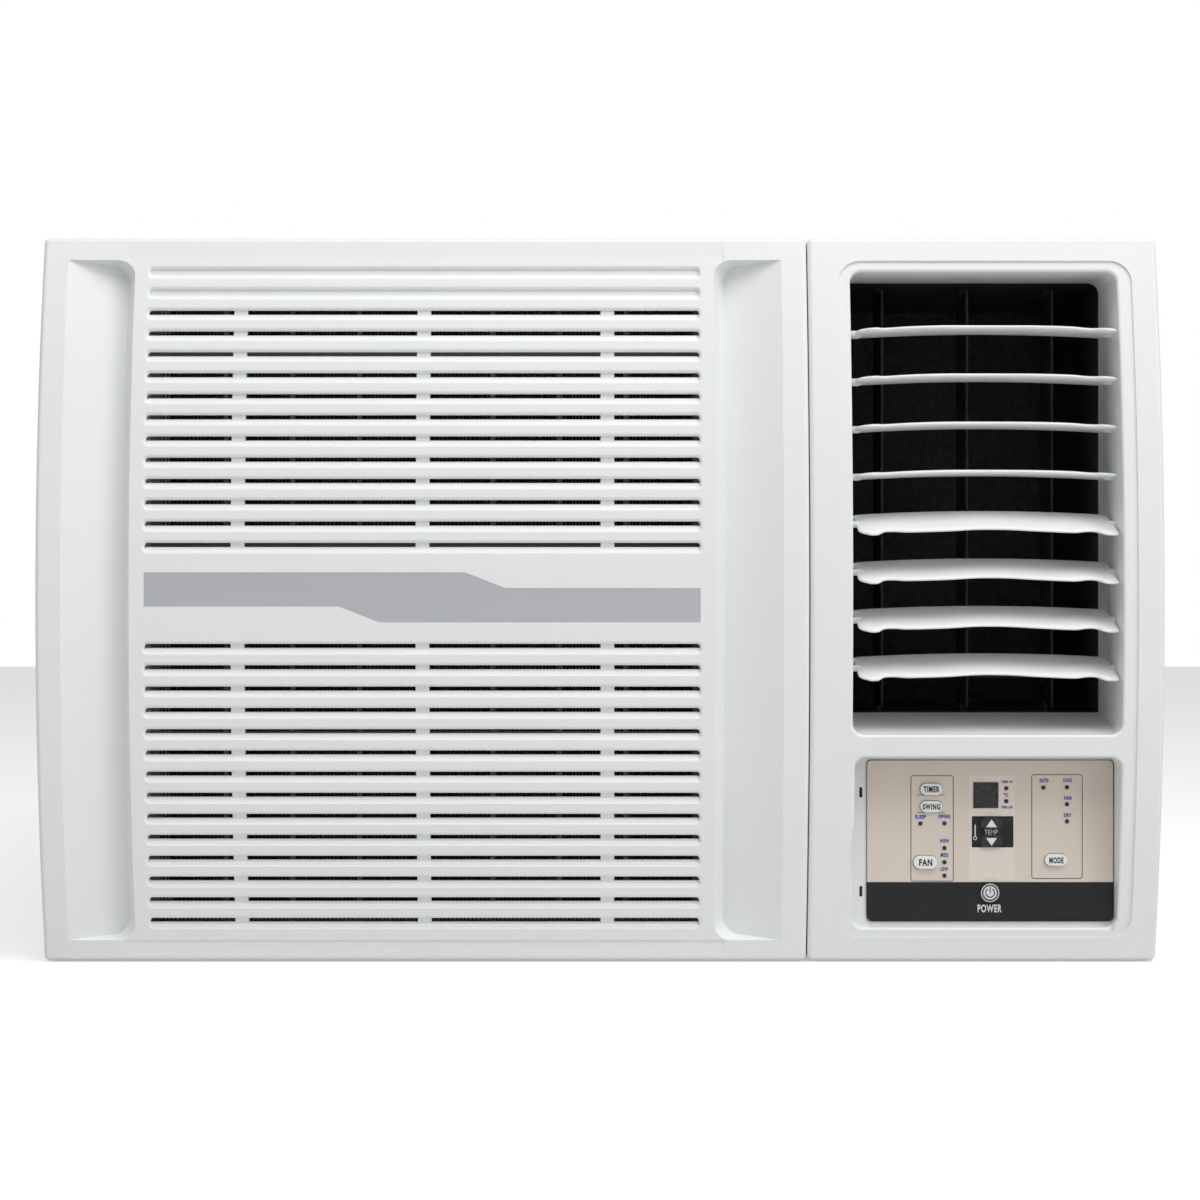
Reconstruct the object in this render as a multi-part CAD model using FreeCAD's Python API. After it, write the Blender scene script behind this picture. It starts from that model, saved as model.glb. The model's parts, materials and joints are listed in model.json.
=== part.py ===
import FreeCAD, Part
import math
import os
from FreeCAD import Vector

# Window air conditioner.  Millimetres, +Z up, the bowed front faces -Y, +X is to the right of
# someone facing the front.  The origin is under the middle of the unit, on what it stands on.

# Overall sizes
WIDTH = 660.0
HEIGHT = 430.0
DEPTH = 700.0
BOW = 25.0  # how far the top and bottom edges of the front lie behind its middle
FRONT_DEPTH = 65.0  # from the middle of the bowed front back to the cabinet's front edge
WALL = 2.8  # moulded walls of the front pieces
SHEET = 1.0  # cabinet, bulkhead and shroud steel
FREE = 0.4  # free gap between pieces that move past each other
PIN_FREE = 0.05  # running clearance of a pin in its hole
UNDER_GAP = 1.0  # the front pieces hang this far above the ground

# Cabinet sleeve
CABINET_INSET = 4.0  # each side of the cabinet lies this far inside the front
CABINET_DROP = 6.0  # the cabinet's top lies this far below the front's top
REAR_FLANGE = 14.0
VENT_COUNT = 14
VENT_PITCH = 14.0
VENT_LENGTH = 120.0
VENT_HEIGHT = 6.0
MOUNT_HOLE = 2.6
MOUNT_SPACING_Y = 260.0
MOUNT_SPACING_Z = 280.0
GUARD_WIRE = 1.5
GUARD_UPRIGHTS = 22
GUARD_RAILS = 5
DRAIN_X = 200.0
DRAIN_RADIUS = 8.0
DRAIN_BORE = 6.0

# Intake panel, the left door of the front
RIGHT_SECTION = 207.3  # width of the fixed right part of the front
SEAM = 0.6
EDGE_ROUND = 3.0
CORNER_ROUND = 3.2
RAIL = 13.5  # plain strip above and below the finger scoops
SCOOP_BORDER = 15.0
SCOOP_WIDTH = 40.0
SCOOP_DEPTH = 14.0
SCOOP_WALL = 6.0  # how far the steep inner wall of a scoop leans
SCOOP_CORNER = 10.0
CREASE = 0.7
SLOT_MARGIN = 9.0
SLOT_HEIGHT = 4.8
SLOT_PITCH = 12.5
SLOT_COUNT = 14  # in each of the two fields
SLOT_LIP = 1.9
SLOT_CORNER = 1.8
SLOT_SILL = 1.2  # behind the front, where the raised sill inside a slot starts
BLIND_ROWS = 2  # rows at the top that are closed behind
BLIND_THICK = 1.6
STIFFENER_WIDTH = 8.0
STIFFENER_DEPTH = 3.0
STIFFENER_COUNT = 3
BAND = 59.0  # plain band between the two fields, slot centre to slot centre
HINGE_DROP = 10.0
HINGE_PIN = 2.0
HINGE_EAR = 3.0
HINGE_EAR_RADIUS = 4.5

# Badge strip: a stepped strip, the same turned half a turn
BADGE_LENGTH = 325.0
BADGE_TALL = 20.0
BADGE_STEP = 9.2
BADGE_SLOPE = 23.5
BADGE_SHOULDER = 0.577  # share of the length before the upper edge steps down
BADGE_THICK = 1.0
BADGE_RECESS = 1.2

# Air filter, in rails on the back of the intake panel
FILTER_THICK = 4.5
FILTER_BACK = 33.0  # from the middle of the front to the filter's front
FILTER_RIBS = 7
FILTER_BARS = 6
FILTER_RIB_DEPTH = 2.2

# Right section of the front
SURROUND_MARGIN = 18.0  # from the seam to the outline of the sunken surround
SURROUND_SUNK = 1.2
SURROUND_CORNER = 13.0
OUTLET_WIDTH = 158.0
OUTLET_HEIGHT = 273.5
OUTLET_TOP = 20.5  # down from the top of the front
OUTLET_INSET = 24.0  # in from the right side of the front
OUTLET_CORNER = 7.0
OUTLET_DEPTH = 74.0
POCKET_WIDTH = 156.5
POCKET_HEIGHT = 101.7
POCKET_BOTTOM = 21.0
POCKET_CORNER = 6.5
POCKET_DEPTH = 29.0  # from the middle of the front to the pocket's floor
LIP_ROUND = 1.6
RAMP = 10.0  # how far the tunnel's floor rises
FLOOR_THICK = 2.0
SCREW_RADIUS = 2.0
SCREW_HEAD = 4.0
GLAND_OUTER = 7.0
GLAND_BORE = 4.2
GLAND_Z = 60.0

# Louvres: two banks of four blades
BLADES_PER_BANK = 4
BLADE_PITCH = 28.5
BLADE_CHORD = 38.0
BLADE_THICK = 2.6
BLADE_END_GAP = 4.6
BLADE_CROWN = 2.4
BLADE_SET_BACK = 28.0
BLADE_FIRST = 35.5  # top blade's axis, down from the top of the outlet
LOWER_TILT = 19.0  # the lower bank rests front down
LINK_ARM = 12.0
LINK_THICK = 1.8
LINK_HALF = 2.6
LINK_HOLE_FREE = 0.3
BLADE_PIN = 2.0
BLADE_PIN_REACH = 2.2  # into the tunnel's side wall
CRANK_PIN = 1.4

# Swing vanes
VANE_COUNT = 3
VANE_CHORD = 40.0
VANE_THICK = 2.0
VANE_PIN = 2.5
VANE_BACK = 30.0  # behind the tunnel's rear end

# Controls
LABEL_THICK = 1.0
LABEL_GAP = 9.0  # finger space at the left of the label
LABEL_MARGIN = 2.7
BUTTON_PROUD = 2.0
BUTTON_FREE = 0.3
BUTTON_FLANGE = 1.4
BOARD_BACK = 11.0
BOARD_THICK = 1.6
LED_RADIUS = 1.3
COVER_THICK = 1.5
COVER_DEPTH = 21.0
COVER_PIN = 1.5
COVER_PIN_REACH = 2.2
COVER_BARREL = 2.2
NOTCH_HALF = 16.0
NOTCH_DEEP = 2.7
NOTCH_Z = 66.0

# Fan set
SHAFT_RADIUS = 6.35
SHAFT_X = -70.0
WHEEL_RADIUS = 115.0
WHEEL_DEPTH = 72.0
WHEEL_BLADES = 30
PROPELLER_RADIUS = 168.0
PROPELLER_BLADES = 5
MOTOR_RADIUS = 52.0
MOTOR_LENGTH = 90.0

# Refrigerant circuit
FIN_PITCH = 8.0
FIN_THICK = 0.5
COIL_TUBE = 4.76
COIL_ROW_PITCH = 25.4
EVAPORATOR_DEPTH = 52.0
CONDENSER_DEPTH = 42.0
COMPRESSOR_RADIUS = 55.0
COMPRESSOR_HEIGHT = 240.0
PAN_THICK = 1.2
PAN_RIM = 28.0
DUCT_WALL = 3.0
FOOT_RADIUS = 74.0
GROMMET_HEIGHT = 14.0
COMPRESSOR_AT = (212.0, 110.0)
ACCUMULATOR_AT = (128.0, 110.0)
ACCUMULATOR_RADIUS = 23.0
SUCTION_OUT = 38.3  # to the right of the evaporator's end
SUCTION_RADIUS = 6.35
CAPILLARY_OUT = 20.0  # outward from the condenser's end
CAPILLARY_RADIUS = 1.6


def span(pair):
    return pair[1] - pair[0]


def centre(pair):
    return (pair[0] + pair[1]) / 2


def inset(pair, by):
    """A pair of limits moved in by a distance, or out if it is negative."""
    return (pair[0] + by, pair[1] - by)


def open_ends(z):
    """Heights of a coil's lowest and highest tubes, which its return bends leave open."""
    half = (coil_pairs(z) - 0.5) * COIL_ROW_PITCH
    return (centre(z) - half, centre(z) + half)


def coil_pairs(z):
    """How many pairs of tubes, one above the other, fit a coil's height."""
    return int(span(z) / COIL_ROW_PITCH / 2)


# Places worked out from the sizes above
LEFT = -WIDTH / 2
RIGHT = WIDTH / 2
FRONT = -DEPTH / 2
REAR = DEPTH / 2
MIDDLE = HEIGHT / 2
BOW_RADIUS = (HEIGHT ** 2 / 4 + BOW ** 2) / (2 * BOW)
CABINET_FRONT = FRONT + FRONT_DEPTH
FRAME_BACK = CABINET_FRONT - 1.0
SEAM_X = RIGHT - RIGHT_SECTION
CABINET_HALF = WIDTH / 2 - CABINET_INSET
CABINET_TOP = HEIGHT - CABINET_DROP
PAN_BOTTOM = SHEET + FREE
PAN_HALF = CABINET_HALF - SHEET - 2.0
PAN_REAR = REAR - 28.0
PAN_FLOOR = PAN_BOTTOM + PAN_THICK
SHAFT_Z = MIDDLE
DOOR_X = (LEFT, SEAM_X - SEAM / 2)
DOOR_BACK = FRAME_BACK - 5.5
PLATE_FRONT = DOOR_BACK + 0.5
HINGE_Y = PLATE_FRONT - 7.0
HINGE_Z = HEIGHT - HINGE_DROP
OUTLET_X = (RIGHT - OUTLET_INSET - OUTLET_WIDTH, RIGHT - OUTLET_INSET)
OUTLET_Z = (HEIGHT - OUTLET_TOP - OUTLET_HEIGHT, HEIGHT - OUTLET_TOP)
TUNNEL_BACK = FRONT + OUTLET_DEPTH
POCKET_X = (RIGHT - OUTLET_INSET - POCKET_WIDTH, RIGHT - OUTLET_INSET)
POCKET_Z = (POCKET_BOTTOM, POCKET_BOTTOM + POCKET_HEIGHT)
POCKET_FLOOR = FRONT + POCKET_DEPTH
LABEL_FRONT = POCKET_FLOOR - LABEL_THICK
SCOOP_Z = (RAIL, HEIGHT - RAIL)
FIELD_X = (DOOR_X[0] + SCOOP_BORDER + SCOOP_WIDTH, DOOR_X[1] - SCOOP_BORDER - SCOOP_WIDTH)
SLOT_X = (FIELD_X[0] + SLOT_MARGIN, FIELD_X[1] - SLOT_MARGIN)
FILTER_X = (FIELD_X[0] + 4.0, FIELD_X[1] - 4.0)
FILTER_Z = (14.0, HEIGHT - WALL - 1.0)
FILTER_Y = (FRONT + FILTER_BACK, FRONT + FILTER_BACK + FILTER_THICK)
PLATE_TOP = HINGE_Z - 12.0
DRAIN_Z = PAN_FLOOR + DRAIN_RADIUS + 4.0
LABEL_X = (POCKET_X[0] + LABEL_GAP, POCKET_X[1] - 0.3)
LABEL_Z = inset(POCKET_Z, LABEL_MARGIN)
COVER_AXIS_X = POCKET_X[1] - COVER_BARREL - 0.6
COVER_AXIS_Y = FRONT + COVER_DEPTH + COVER_THICK / 2
COVER_SIDE_ROOM = POCKET_X[1] - COVER_AXIS_X - COVER_THICK / 2  # beside the open cover
COVER_CORNER_PART = max(0.0, POCKET_CORNER - COVER_SIDE_ROOM)
COVER_EDGE = POCKET_CORNER - math.sqrt(POCKET_CORNER ** 2 - COVER_CORNER_PART ** 2) + FREE
GLAND_Y = FRAME_BACK - 16.0
EVAPORATOR_X = (LEFT + 68.0, SEAM_X - 61.0)
EVAPORATOR_Y = (CABINET_FRONT + 14.0, CABINET_FRONT + 14.0 + EVAPORATOR_DEPTH)
EVAPORATOR_Z = (PAN_FLOOR + 31.0, HEIGHT - 34.0)
PIPE_LOW = open_ends(EVAPORATOR_Z)[0]
SUCTION_X = EVAPORATOR_X[1] + SUCTION_OUT
SCROLL_Y = (EVAPORATOR_Y[1] + 7.0, EVAPORATOR_Y[1] + 7.0 + WHEEL_DEPTH + 20.0)
DUCT_Z = (OUTLET_Z[0] + RAMP, OUTLET_Z[1])
BULKHEAD_Y = SCROLL_Y[1] + 8.0
MOTOR_Y = (BULKHEAD_Y + 52.0, BULKHEAD_Y + 52.0 + MOTOR_LENGTH)
CONDENSER_Y = (PAN_REAR - 8.0 - CONDENSER_DEPTH, PAN_REAR - 8.0)
CONDENSER_X = (-PAN_HALF + 25.0, PAN_HALF - 31.0)
CONDENSER_Z = (PAN_FLOOR + 16.0, HEIGHT - 25.0)
CAPILLARY_Z = open_ends(CONDENSER_Z)[0]
CAPILLARY_X = CONDENSER_X[1] + CAPILLARY_OUT
SHROUD_Y = CONDENSER_Y[0] - 10.0
PROPELLER_Y = SHROUD_Y - 22.0
ELECTRICAL = ((150.0, 300.0), (BULKHEAD_Y + SHEET, BULKHEAD_Y + SHEET + 62.0), (300.0, 395.0))
SCREWS = [(x, PAN_FLOOR + PAN_RIM / 2) for x in (LEFT + 40.0, LEFT / 3, SEAM_X - 30.0)]


def on_label(x, z):
    """A place on the label, from the label's lower left corner."""
    return (LABEL_X[0] + x, LABEL_Z[0] + z)


# Middle, width and height of each button, on the label
BUTTONS = {
    "timer_button": on_label(38.5, 78.8) + (13.2, 6.9),
    "swing_button": on_label(38.5, 68.4) + (13.2, 6.9),
    "fan_button": on_label(35.0, 35.3) + (14.3, 7.9),
    "mode_button": on_label(112.6, 36.7) + (13.3, 7.1),
    "temp_up_button": on_label(74.1, 58.4) + (13.0, 7.0),
    "temp_down_button": on_label(74.1, 47.9) + (13.0, 7.0),
    "power_button": on_label(73.3, 17.3) + (11.2, 11.2),
}
LAMPS = [on_label(32.1, 58.3), on_label(46.4, 58.4), on_label(46.4, 43.7), on_label(46.4, 35.3),
         on_label(46.4, 27.3), on_label(83.2, 79.3), on_label(83.2, 71.6), on_label(105.3, 79.7),
         on_label(119.3, 79.9), on_label(119.3, 69.8), on_label(119.3, 59.6)]
DISPLAY_X = (LABEL_X[0] + 63.5, LABEL_X[0] + 78.5)
DISPLAY_Z = (LABEL_Z[0] + 67.5, LABEL_Z[0] + 82.9)


def box(x, y, z):
    return Part.makeBox(span(x), span(y), span(z), Vector(x[0], y[0], z[0]))


def rod(radius, start, end):
    axis = Vector(*end) - Vector(*start)
    return Part.makeCylinder(radius, axis.Length, Vector(*start), axis)


def ring(outer, inner, start, end):
    return rod(outer, start, end).cut(rod(inner, start, end))


def edges_along(shape, direction):
    """Straight edges of a shape that run along one axis."""
    wanted = Vector(*direction)
    straight = [e for e in shape.Edges if e.Curve.TypeId == "Part::GeomLine"]
    return [e for e in straight if abs(e.tangentAt(e.FirstParameter).dot(wanted)) > 0.999]


def pad(x, y, z, corner):
    """A block whose four edges along Y are rounded."""
    block = box(x, y, z)
    return block.makeFillet(corner, edges_along(block, (0, 1, 0)))


def plate(points, y):
    """An outline of (x, z) points, as thick as the y pair."""
    wire = Part.makePolygon([Vector(x, y[0], z) for x, z in points + points[:1]])
    return Part.Face(wire).extrude(Vector(0, span(y), 0))


def fused(shapes):
    whole = shapes[0].fuse(shapes[1:]) if len(shapes) > 1 else shapes[0]
    return whole.removeSplitter()


def tube(points, radius, bend):
    """Straight runs joined by tangent arcs of one bend radius, as one round bar."""
    places = [Vector(*p) for p in points]
    edges = []
    at = places[0]
    for before, corner, after in zip(places, places[1:], places[2:]):
        into = (corner - before).normalize()
        out = (after - corner).normalize()
        half_turn = into.getAngle(out) / 2
        back = bend * math.tan(half_turn)
        first = corner - into * back
        last = corner + out * back
        inward = (out - into).normalize()
        mid = corner + inward * (bend / math.cos(half_turn) - bend)
        if (first - at).Length > 1e-6:
            edges.append(Part.makeLine(at, first))
        edges.append(Part.Arc(first, mid, last).toShape())
        at = last
    edges.append(Part.makeLine(at, places[-1]))
    path = Part.Wire(edges)
    section = Part.Wire([Part.makeCircle(radius, places[0], places[1] - places[0])])
    return path.makePipeShell([section], True, False)


# The bowed front

def face_y(z, inset=0.0):
    """Where the bowed front, moved in by inset, lies at a height."""
    return FRONT + BOW_RADIUS - math.sqrt((BOW_RADIUS - inset) ** 2 - (z - MIDDLE) ** 2)


def bowed(x, z, back, inset=0.0):
    """A block with the bowed front and a flat back."""
    heights = (z[0], centre(z), z[1])
    low, mid, high = [Vector(x[0], face_y(h, inset), h) for h in heights]
    high_back = Vector(x[0], back, z[1])
    low_back = Vector(x[0], back, z[0])
    sides = [Part.makeLine(high, high_back), Part.makeLine(high_back, low_back),
             Part.makeLine(low_back, low)]
    wire = Part.Wire([Part.Arc(low, mid, high).toShape()] + sides)
    return Part.Face(wire).extrude(Vector(span(x), 0, 0))


def bowed_skin(x, z, inset):
    """What lies between the bowed front, from just before it, and the front moved in by inset."""
    x = (x[0] - 1, x[1] + 1)
    z = (z[0] - 1, z[1] + 1)
    return bowed(x, z, FRONT + FRONT_DEPTH, -1.0).cut(bowed(x, z, FRONT + FRONT_DEPTH, inset))


def sunken(x, z, corner, depth):
    """Tool that sinks a rounded outline into the bowed front."""
    outline = pad(x, (FRONT - 2, CABINET_FRONT), z, corner)
    return outline.common(bowed_skin(x, z, depth))


def turned_groove(section, z):
    """A groove of (x, depth) points that follows the bow from one height to the other."""
    axis = Vector(0, FRONT + BOW_RADIUS, MIDDLE)
    corners = [Vector(x, FRONT + depth, MIDDLE) for x, depth in section + section[:1]]
    face = Part.Face(Part.makePolygon(corners))
    low = math.degrees(math.asin((MIDDLE - z[0]) / BOW_RADIUS))
    high = math.degrees(math.asin((z[1] - MIDDLE) / BOW_RADIUS))
    face.rotate(axis, Vector(1, 0, 0), low)
    return face.revolve(axis, Vector(-1, 0, 0), low + high)


def rounded_front(block, edge_round, corner_round):
    """Rounds the edges along Y of a bowed block and then the rim of its front."""
    block = block.makeFillet(corner_round, edges_along(block, (0, 1, 0)))
    rim = [e for e in block.Edges
           if all(abs(v.Y - face_y(v.Z)) < 0.01 for v in e.Vertexes) and len(e.Vertexes) == 2]
    rim = [e for e in rim if abs(e.CenterOfMass.y - face_y(e.CenterOfMass.z)) < 0.6]
    return block.makeFillet(edge_round, rim)


# Cabinet sleeve

def cabinet_shell():
    """Steel sleeve, open at the front, with a rear flange, side and top vents and screw holes."""
    x = (-CABINET_HALF, CABINET_HALF)
    y = (CABINET_FRONT, REAR)
    z = (0.0, CABINET_TOP)
    outer = pad(x, y, z, 6.0)
    inside = pad(inset(x, SHEET), (y[0] - 1, y[1] - SHEET), inset(z, SHEET), 6.0 - SHEET)
    window = pad(inset(x, REAR_FLANGE), y, inset(z, REAR_FLANGE), 6.0)
    window.translate(Vector(0, SHEET, 0))
    tools = [inside, window]
    vent_y = (REAR - 50.0 - VENT_LENGTH, REAR - 50.0)
    for i in range(VENT_COUNT):
        low = MIDDLE + (i - (VENT_COUNT - 1) / 2) * VENT_PITCH - VENT_HEIGHT / 2
        tools.append(box((x[0] - 1, x[1] + 1), vent_y, (low, low + VENT_HEIGHT)))
        left = (i - (VENT_COUNT - 1) / 2) * 2 * VENT_PITCH - VENT_HEIGHT / 2
        tools.append(box((left, left + VENT_HEIGHT), vent_y, (z[1] - 2 * SHEET, z[1] + 1)))
    for hole_y in (-MOUNT_SPACING_Y / 2, MOUNT_SPACING_Y / 2):
        for hole_z in (MIDDLE - MOUNT_SPACING_Z / 2, MIDDLE + MOUNT_SPACING_Z / 2):
            tools.append(rod(MOUNT_HOLE, (x[0] - 1, hole_y, hole_z), (x[1] + 1, hole_y, hole_z)))
    tools.append(rod(DRAIN_RADIUS + 4, (DRAIN_X, REAR - 2, DRAIN_Z), (DRAIN_X, REAR + 1, DRAIN_Z)))
    return outer.cut(tools)


def rear_guard():
    """Welded wire guard inside the rear flange."""
    half = CABINET_HALF - SHEET - 4.0
    low = SHEET + 32.0
    high = CABINET_TOP - SHEET - 4.0
    y = REAR - SHEET - GUARD_WIRE
    wires = []
    for i in range(GUARD_UPRIGHTS):
        x = -half + 2 * half * i / (GUARD_UPRIGHTS - 1)
        wires.append(rod(GUARD_WIRE, (x, y, low), (x, y, high)))
    for i in range(GUARD_RAILS):
        z = low + (high - low) * i / (GUARD_RAILS - 1)
        wires.append(rod(GUARD_WIRE, (-half - 2, y, z), (half + 2, y, z)))
    return fused(wires)


# Intake panel and what it carries

def scoop(side, grow=0.0):
    """Finger scoop, or the same grown by a wall: a sloping floor and a steep inner wall."""
    turn = -side
    edge = DOOR_X[0] + SCOOP_BORDER if side < 0 else DOOR_X[1] - SCOOP_BORDER
    foot = edge + turn * (SCOOP_WIDTH - SCOOP_WALL)
    inner = edge + turn * (SCOOP_WIDTH + grow)
    section = [(edge - turn * grow, -2.0), (edge - turn * grow, grow), (foot, SCOOP_DEPTH + grow),
               (foot + turn * grow, SCOOP_DEPTH + grow), (inner, grow), (inner, -2.0)]
    if grow == 0.0:
        section = [(edge, -2.0), (edge, 0.0), (foot, SCOOP_DEPTH), (inner, 0.0), (inner, -2.0)]
    groove = turned_groove(section, (SCOOP_Z[0] - grow, SCOOP_Z[1] + grow))
    ends = [e for e in groove.Edges if is_scoop_corner(e, foot, inner)]
    return groove.makeFillet(SCOOP_CORNER + grow, ends) if grow == 0.0 else groove


def is_scoop_corner(edge, foot, inner):
    """An edge where a scoop's end meets its steep inner wall."""
    reach = sorted(v.X for v in edge.Vertexes)
    wanted = sorted((foot, inner))
    return len(reach) == 2 and all(abs(a - b) < 0.01 for a, b in zip(reach, wanted))


def slot_heights():
    """Heights of the slots' middles, in two fields that lie the same way about the band."""
    first = MIDDLE + 1.5 + BAND / 2
    last = MIDDLE + 1.5 - BAND / 2
    upper = [first + i * SLOT_PITCH for i in range(SLOT_COUNT)]
    lower = [last - i * SLOT_PITCH for i in range(SLOT_COUNT)]
    return lower + upper


def slot_sill(height):
    """Ramp that rises from a slot's lower lip to half the slot's height at the wall's back."""
    low = height - SLOT_HEIGHT / 2
    y = (face_y(height, SLOT_SILL), face_y(height, WALL))
    corners = [(y[0], low - WALL / 4), (y[0], low), (y[1], height), (y[1], low - WALL / 4)]
    x = inset(SLOT_X, -1)
    wire = Part.makePolygon([Vector(x[0], a, b) for a, b in corners + corners[:1]])
    return Part.Face(wire).extrude(Vector(span(x), 0, 0))


def slot_backing():
    """Upright stiffeners behind the fields, and the plate that closes the top rows."""
    field_z = inset((min(slot_heights()), max(slot_heights())), -SLOT_HEIGHT)
    pieces = []
    for i in range(STIFFENER_COUNT):
        x = SLOT_X[0] + span(SLOT_X) * (i + 0.5) / STIFFENER_COUNT
        x = (x - STIFFENER_WIDTH / 2, x + STIFFENER_WIDTH / 2)
        rib = bowed(x, field_z, DOOR_BACK, WALL - SHEET / 2)
        pieces.append(rib.cut(bowed(inset(x, -1), inset(field_z, -1), 0, WALL + STIFFENER_DEPTH)))
    closed = sorted(slot_heights())[-BLIND_ROWS:]
    blind_z = (closed[0] - SLOT_HEIGHT, field_z[1])
    blind = bowed(inset(SLOT_X, -1), blind_z, DOOR_BACK, WALL - SHEET / 2)
    behind = bowed(inset(SLOT_X, -2), inset(blind_z, -1), 0, WALL + BLIND_THICK)
    return pieces + [blind.cut(behind)]


def crease(z_edge, z_rim):
    """Shallow wedge that lowers the strip between a field's edge and the rim of the front."""
    y_edge = face_y(z_edge)
    y_rim = face_y(z_rim)
    corners = [(y_edge - 1, z_edge), (y_edge + CREASE, z_edge), (y_rim, z_rim), (y_rim - 1, z_rim)]
    x = FIELD_X[0] - SCOOP_WALL
    wire = Part.makePolygon([Vector(x, y, z) for y, z in corners + corners[:1]])
    return Part.Face(wire).extrude(Vector(span(FIELD_X) + 2 * SCOOP_WALL, 0, 0))


def badge_outline():
    """Corners of the badge strip, which looks the same after half a turn."""
    half = BADGE_LENGTH / 2
    top = (BADGE_TALL + BADGE_STEP) / 2
    shoulder = -half + BADGE_LENGTH * BADGE_SHOULDER
    upper = [(-half, top), (shoulder, top), (shoulder + BADGE_SLOPE, top - BADGE_STEP),
             (half, top - BADGE_STEP)]
    lower = [(-x, -z) for x, z in upper]
    return [(centre(SLOT_X) + x, MIDDLE + 1.5 + z) for x, z in upper + lower]


def badge_strip():
    outline = plate(badge_outline(), (FRONT - 2, FRONT + 10))
    proud = BADGE_THICK - BADGE_RECESS
    x = (SLOT_X[0] - 2, SLOT_X[1] + 2)
    z = (MIDDLE - BADGE_TALL, MIDDLE + BADGE_TALL)
    layer = bowed(x, z, FRONT + 20, -proud).cut(bowed(x, z, FRONT + 20, BADGE_RECESS))
    return outline.common(layer)


def filter_rail(side):
    """Channel on the panel's back that guides one edge of the filter."""
    edge = FILTER_X[0] if side < 0 else FILTER_X[1]
    web = sorted((edge + side * FREE, edge + side * (FREE + 2.4)))
    lip = sorted((edge - side * 3.0, edge + side * (FREE + 2.4)))
    z = (FILTER_Z[0] + 6, HEIGHT - WALL)
    y_front = (FILTER_Y[0] - FREE - 1.8, FILTER_Y[0] - FREE)
    y_back = (FILTER_Y[1] + FREE, FILTER_Y[1] + FREE + 1.8)
    parts = [box(web, (FRONT, y_back[1]), z), box(lip, y_front, z), box(lip, y_back, z)]
    return fused(parts).common(bowed(inset(DOOR_X, 1), (UNDER_GAP, HEIGHT), DOOR_BACK, 1.0))


def intake_panel():
    """Bowed door with slots, two finger scoops, filter rails and two hinge pins."""
    z = (UNDER_GAP, HEIGHT)
    block = rounded_front(bowed(DOOR_X, z, DOOR_BACK), EDGE_ROUND, CORNER_ROUND)
    hollow = bowed(inset(DOOR_X, WALL), inset(z, WALL), DOOR_BACK + 1, WALL)
    block = block.cut([scoop(-1), scoop(1), crease(SCOOP_Z[0], z[0] + EDGE_ROUND),
                       crease(SCOOP_Z[1], z[1] - EDGE_ROUND)])
    hollow = hollow.cut([scoop(-1, WALL), scoop(1, WALL)])
    panel = block.cut(hollow)
    slots = [pad(SLOT_X, (FRONT - 5, FRONT + 40), inset((h, h), -SLOT_HEIGHT / 2), SLOT_CORNER)
             for h in slot_heights()]
    panel = panel.cut(slots)
    field_z = inset((min(slot_heights()), max(slot_heights())), -SLOT_HEIGHT / 2)
    lips = [e for e in panel.Edges if on_front(e, 0.0, SLOT_X, field_z, 0.2)]
    panel = panel.makeFillet(SLOT_LIP, lips)
    panel = panel.fuse([slot_sill(h) for h in slot_heights()] + slot_backing())
    recess = plate(badge_outline(), (FRONT - 2, FRONT + 10))
    panel = panel.cut(recess.common(bowed_skin(SLOT_X, (MIDDLE - 30, MIDDLE + 30), BADGE_RECESS)))
    mouth = box((FILTER_X[0] - FREE, FILTER_X[1] + FREE), (FILTER_Y[0] - FREE, FILTER_Y[1] + FREE),
                (HEIGHT - WALL - 1, HEIGHT + 1))
    panel = panel.fuse([filter_rail(-1), filter_rail(1)]).cut(mouth)
    reach = WALL + 1.0 + HINGE_EAR
    for wall, end in ((DOOR_X[0] + 1, DOOR_X[0] + reach), (DOOR_X[1] - 1, DOOR_X[1] - reach)):
        panel = panel.fuse(rod(HINGE_PIN, (wall, HINGE_Y, HINGE_Z), (end, HINGE_Y, HINGE_Z)))
    return panel


def on_front(edge, depth, x, z, margin):
    """Whether an edge lies on the front moved in by depth, within a window."""
    m = edge.valueAt((edge.FirstParameter + edge.LastParameter) / 2)
    inside = x[0] - margin < m.x < x[1] + margin and z[0] - margin < m.z < z[1] + margin
    return inside and abs(m.y - face_y(m.z, depth)) < 0.05


def filter_frame():
    """Moulded frame with a lattice of ribs and a finger tab that shows in the panel's top."""
    border = 8.0
    inner_x = inset(FILTER_X, border)
    inner_z = inset(FILTER_Z, border)
    frame = box(FILTER_X, FILTER_Y, FILTER_Z).cut(box(inner_x, (FRONT, 0), inner_z))
    rib_y = (FILTER_Y[0], FILTER_Y[0] + FILTER_RIB_DEPTH)
    ribs = []
    for i in range(1, FILTER_RIBS + 1):
        x = inner_x[0] + span(inner_x) * i / (FILTER_RIBS + 1)
        ribs.append(box((x - 1.4, x + 1.4), rib_y, inset(FILTER_Z, border / 2)))
    for i in range(1, FILTER_BARS + 1):
        z = inner_z[0] + span(inner_z) * i / (FILTER_BARS + 1)
        ribs.append(box(inset(FILTER_X, border / 2), rib_y, (z - 1.4, z + 1.4)))
    tab = box((centre(FILTER_X) - 30, centre(FILTER_X) + 30), FILTER_Y,
              (FILTER_Z[1] - 1, HEIGHT - 0.4))
    return fused([frame, tab] + ribs)


def filter_mesh():
    """Woven screen behind the ribs."""
    y = FILTER_Y[0] + FILTER_RIB_DEPTH
    return box(inset(FILTER_X, 8.0), (y, y + 0.5), inset(FILTER_Z, 8.0))


# Right section of the front

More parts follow.
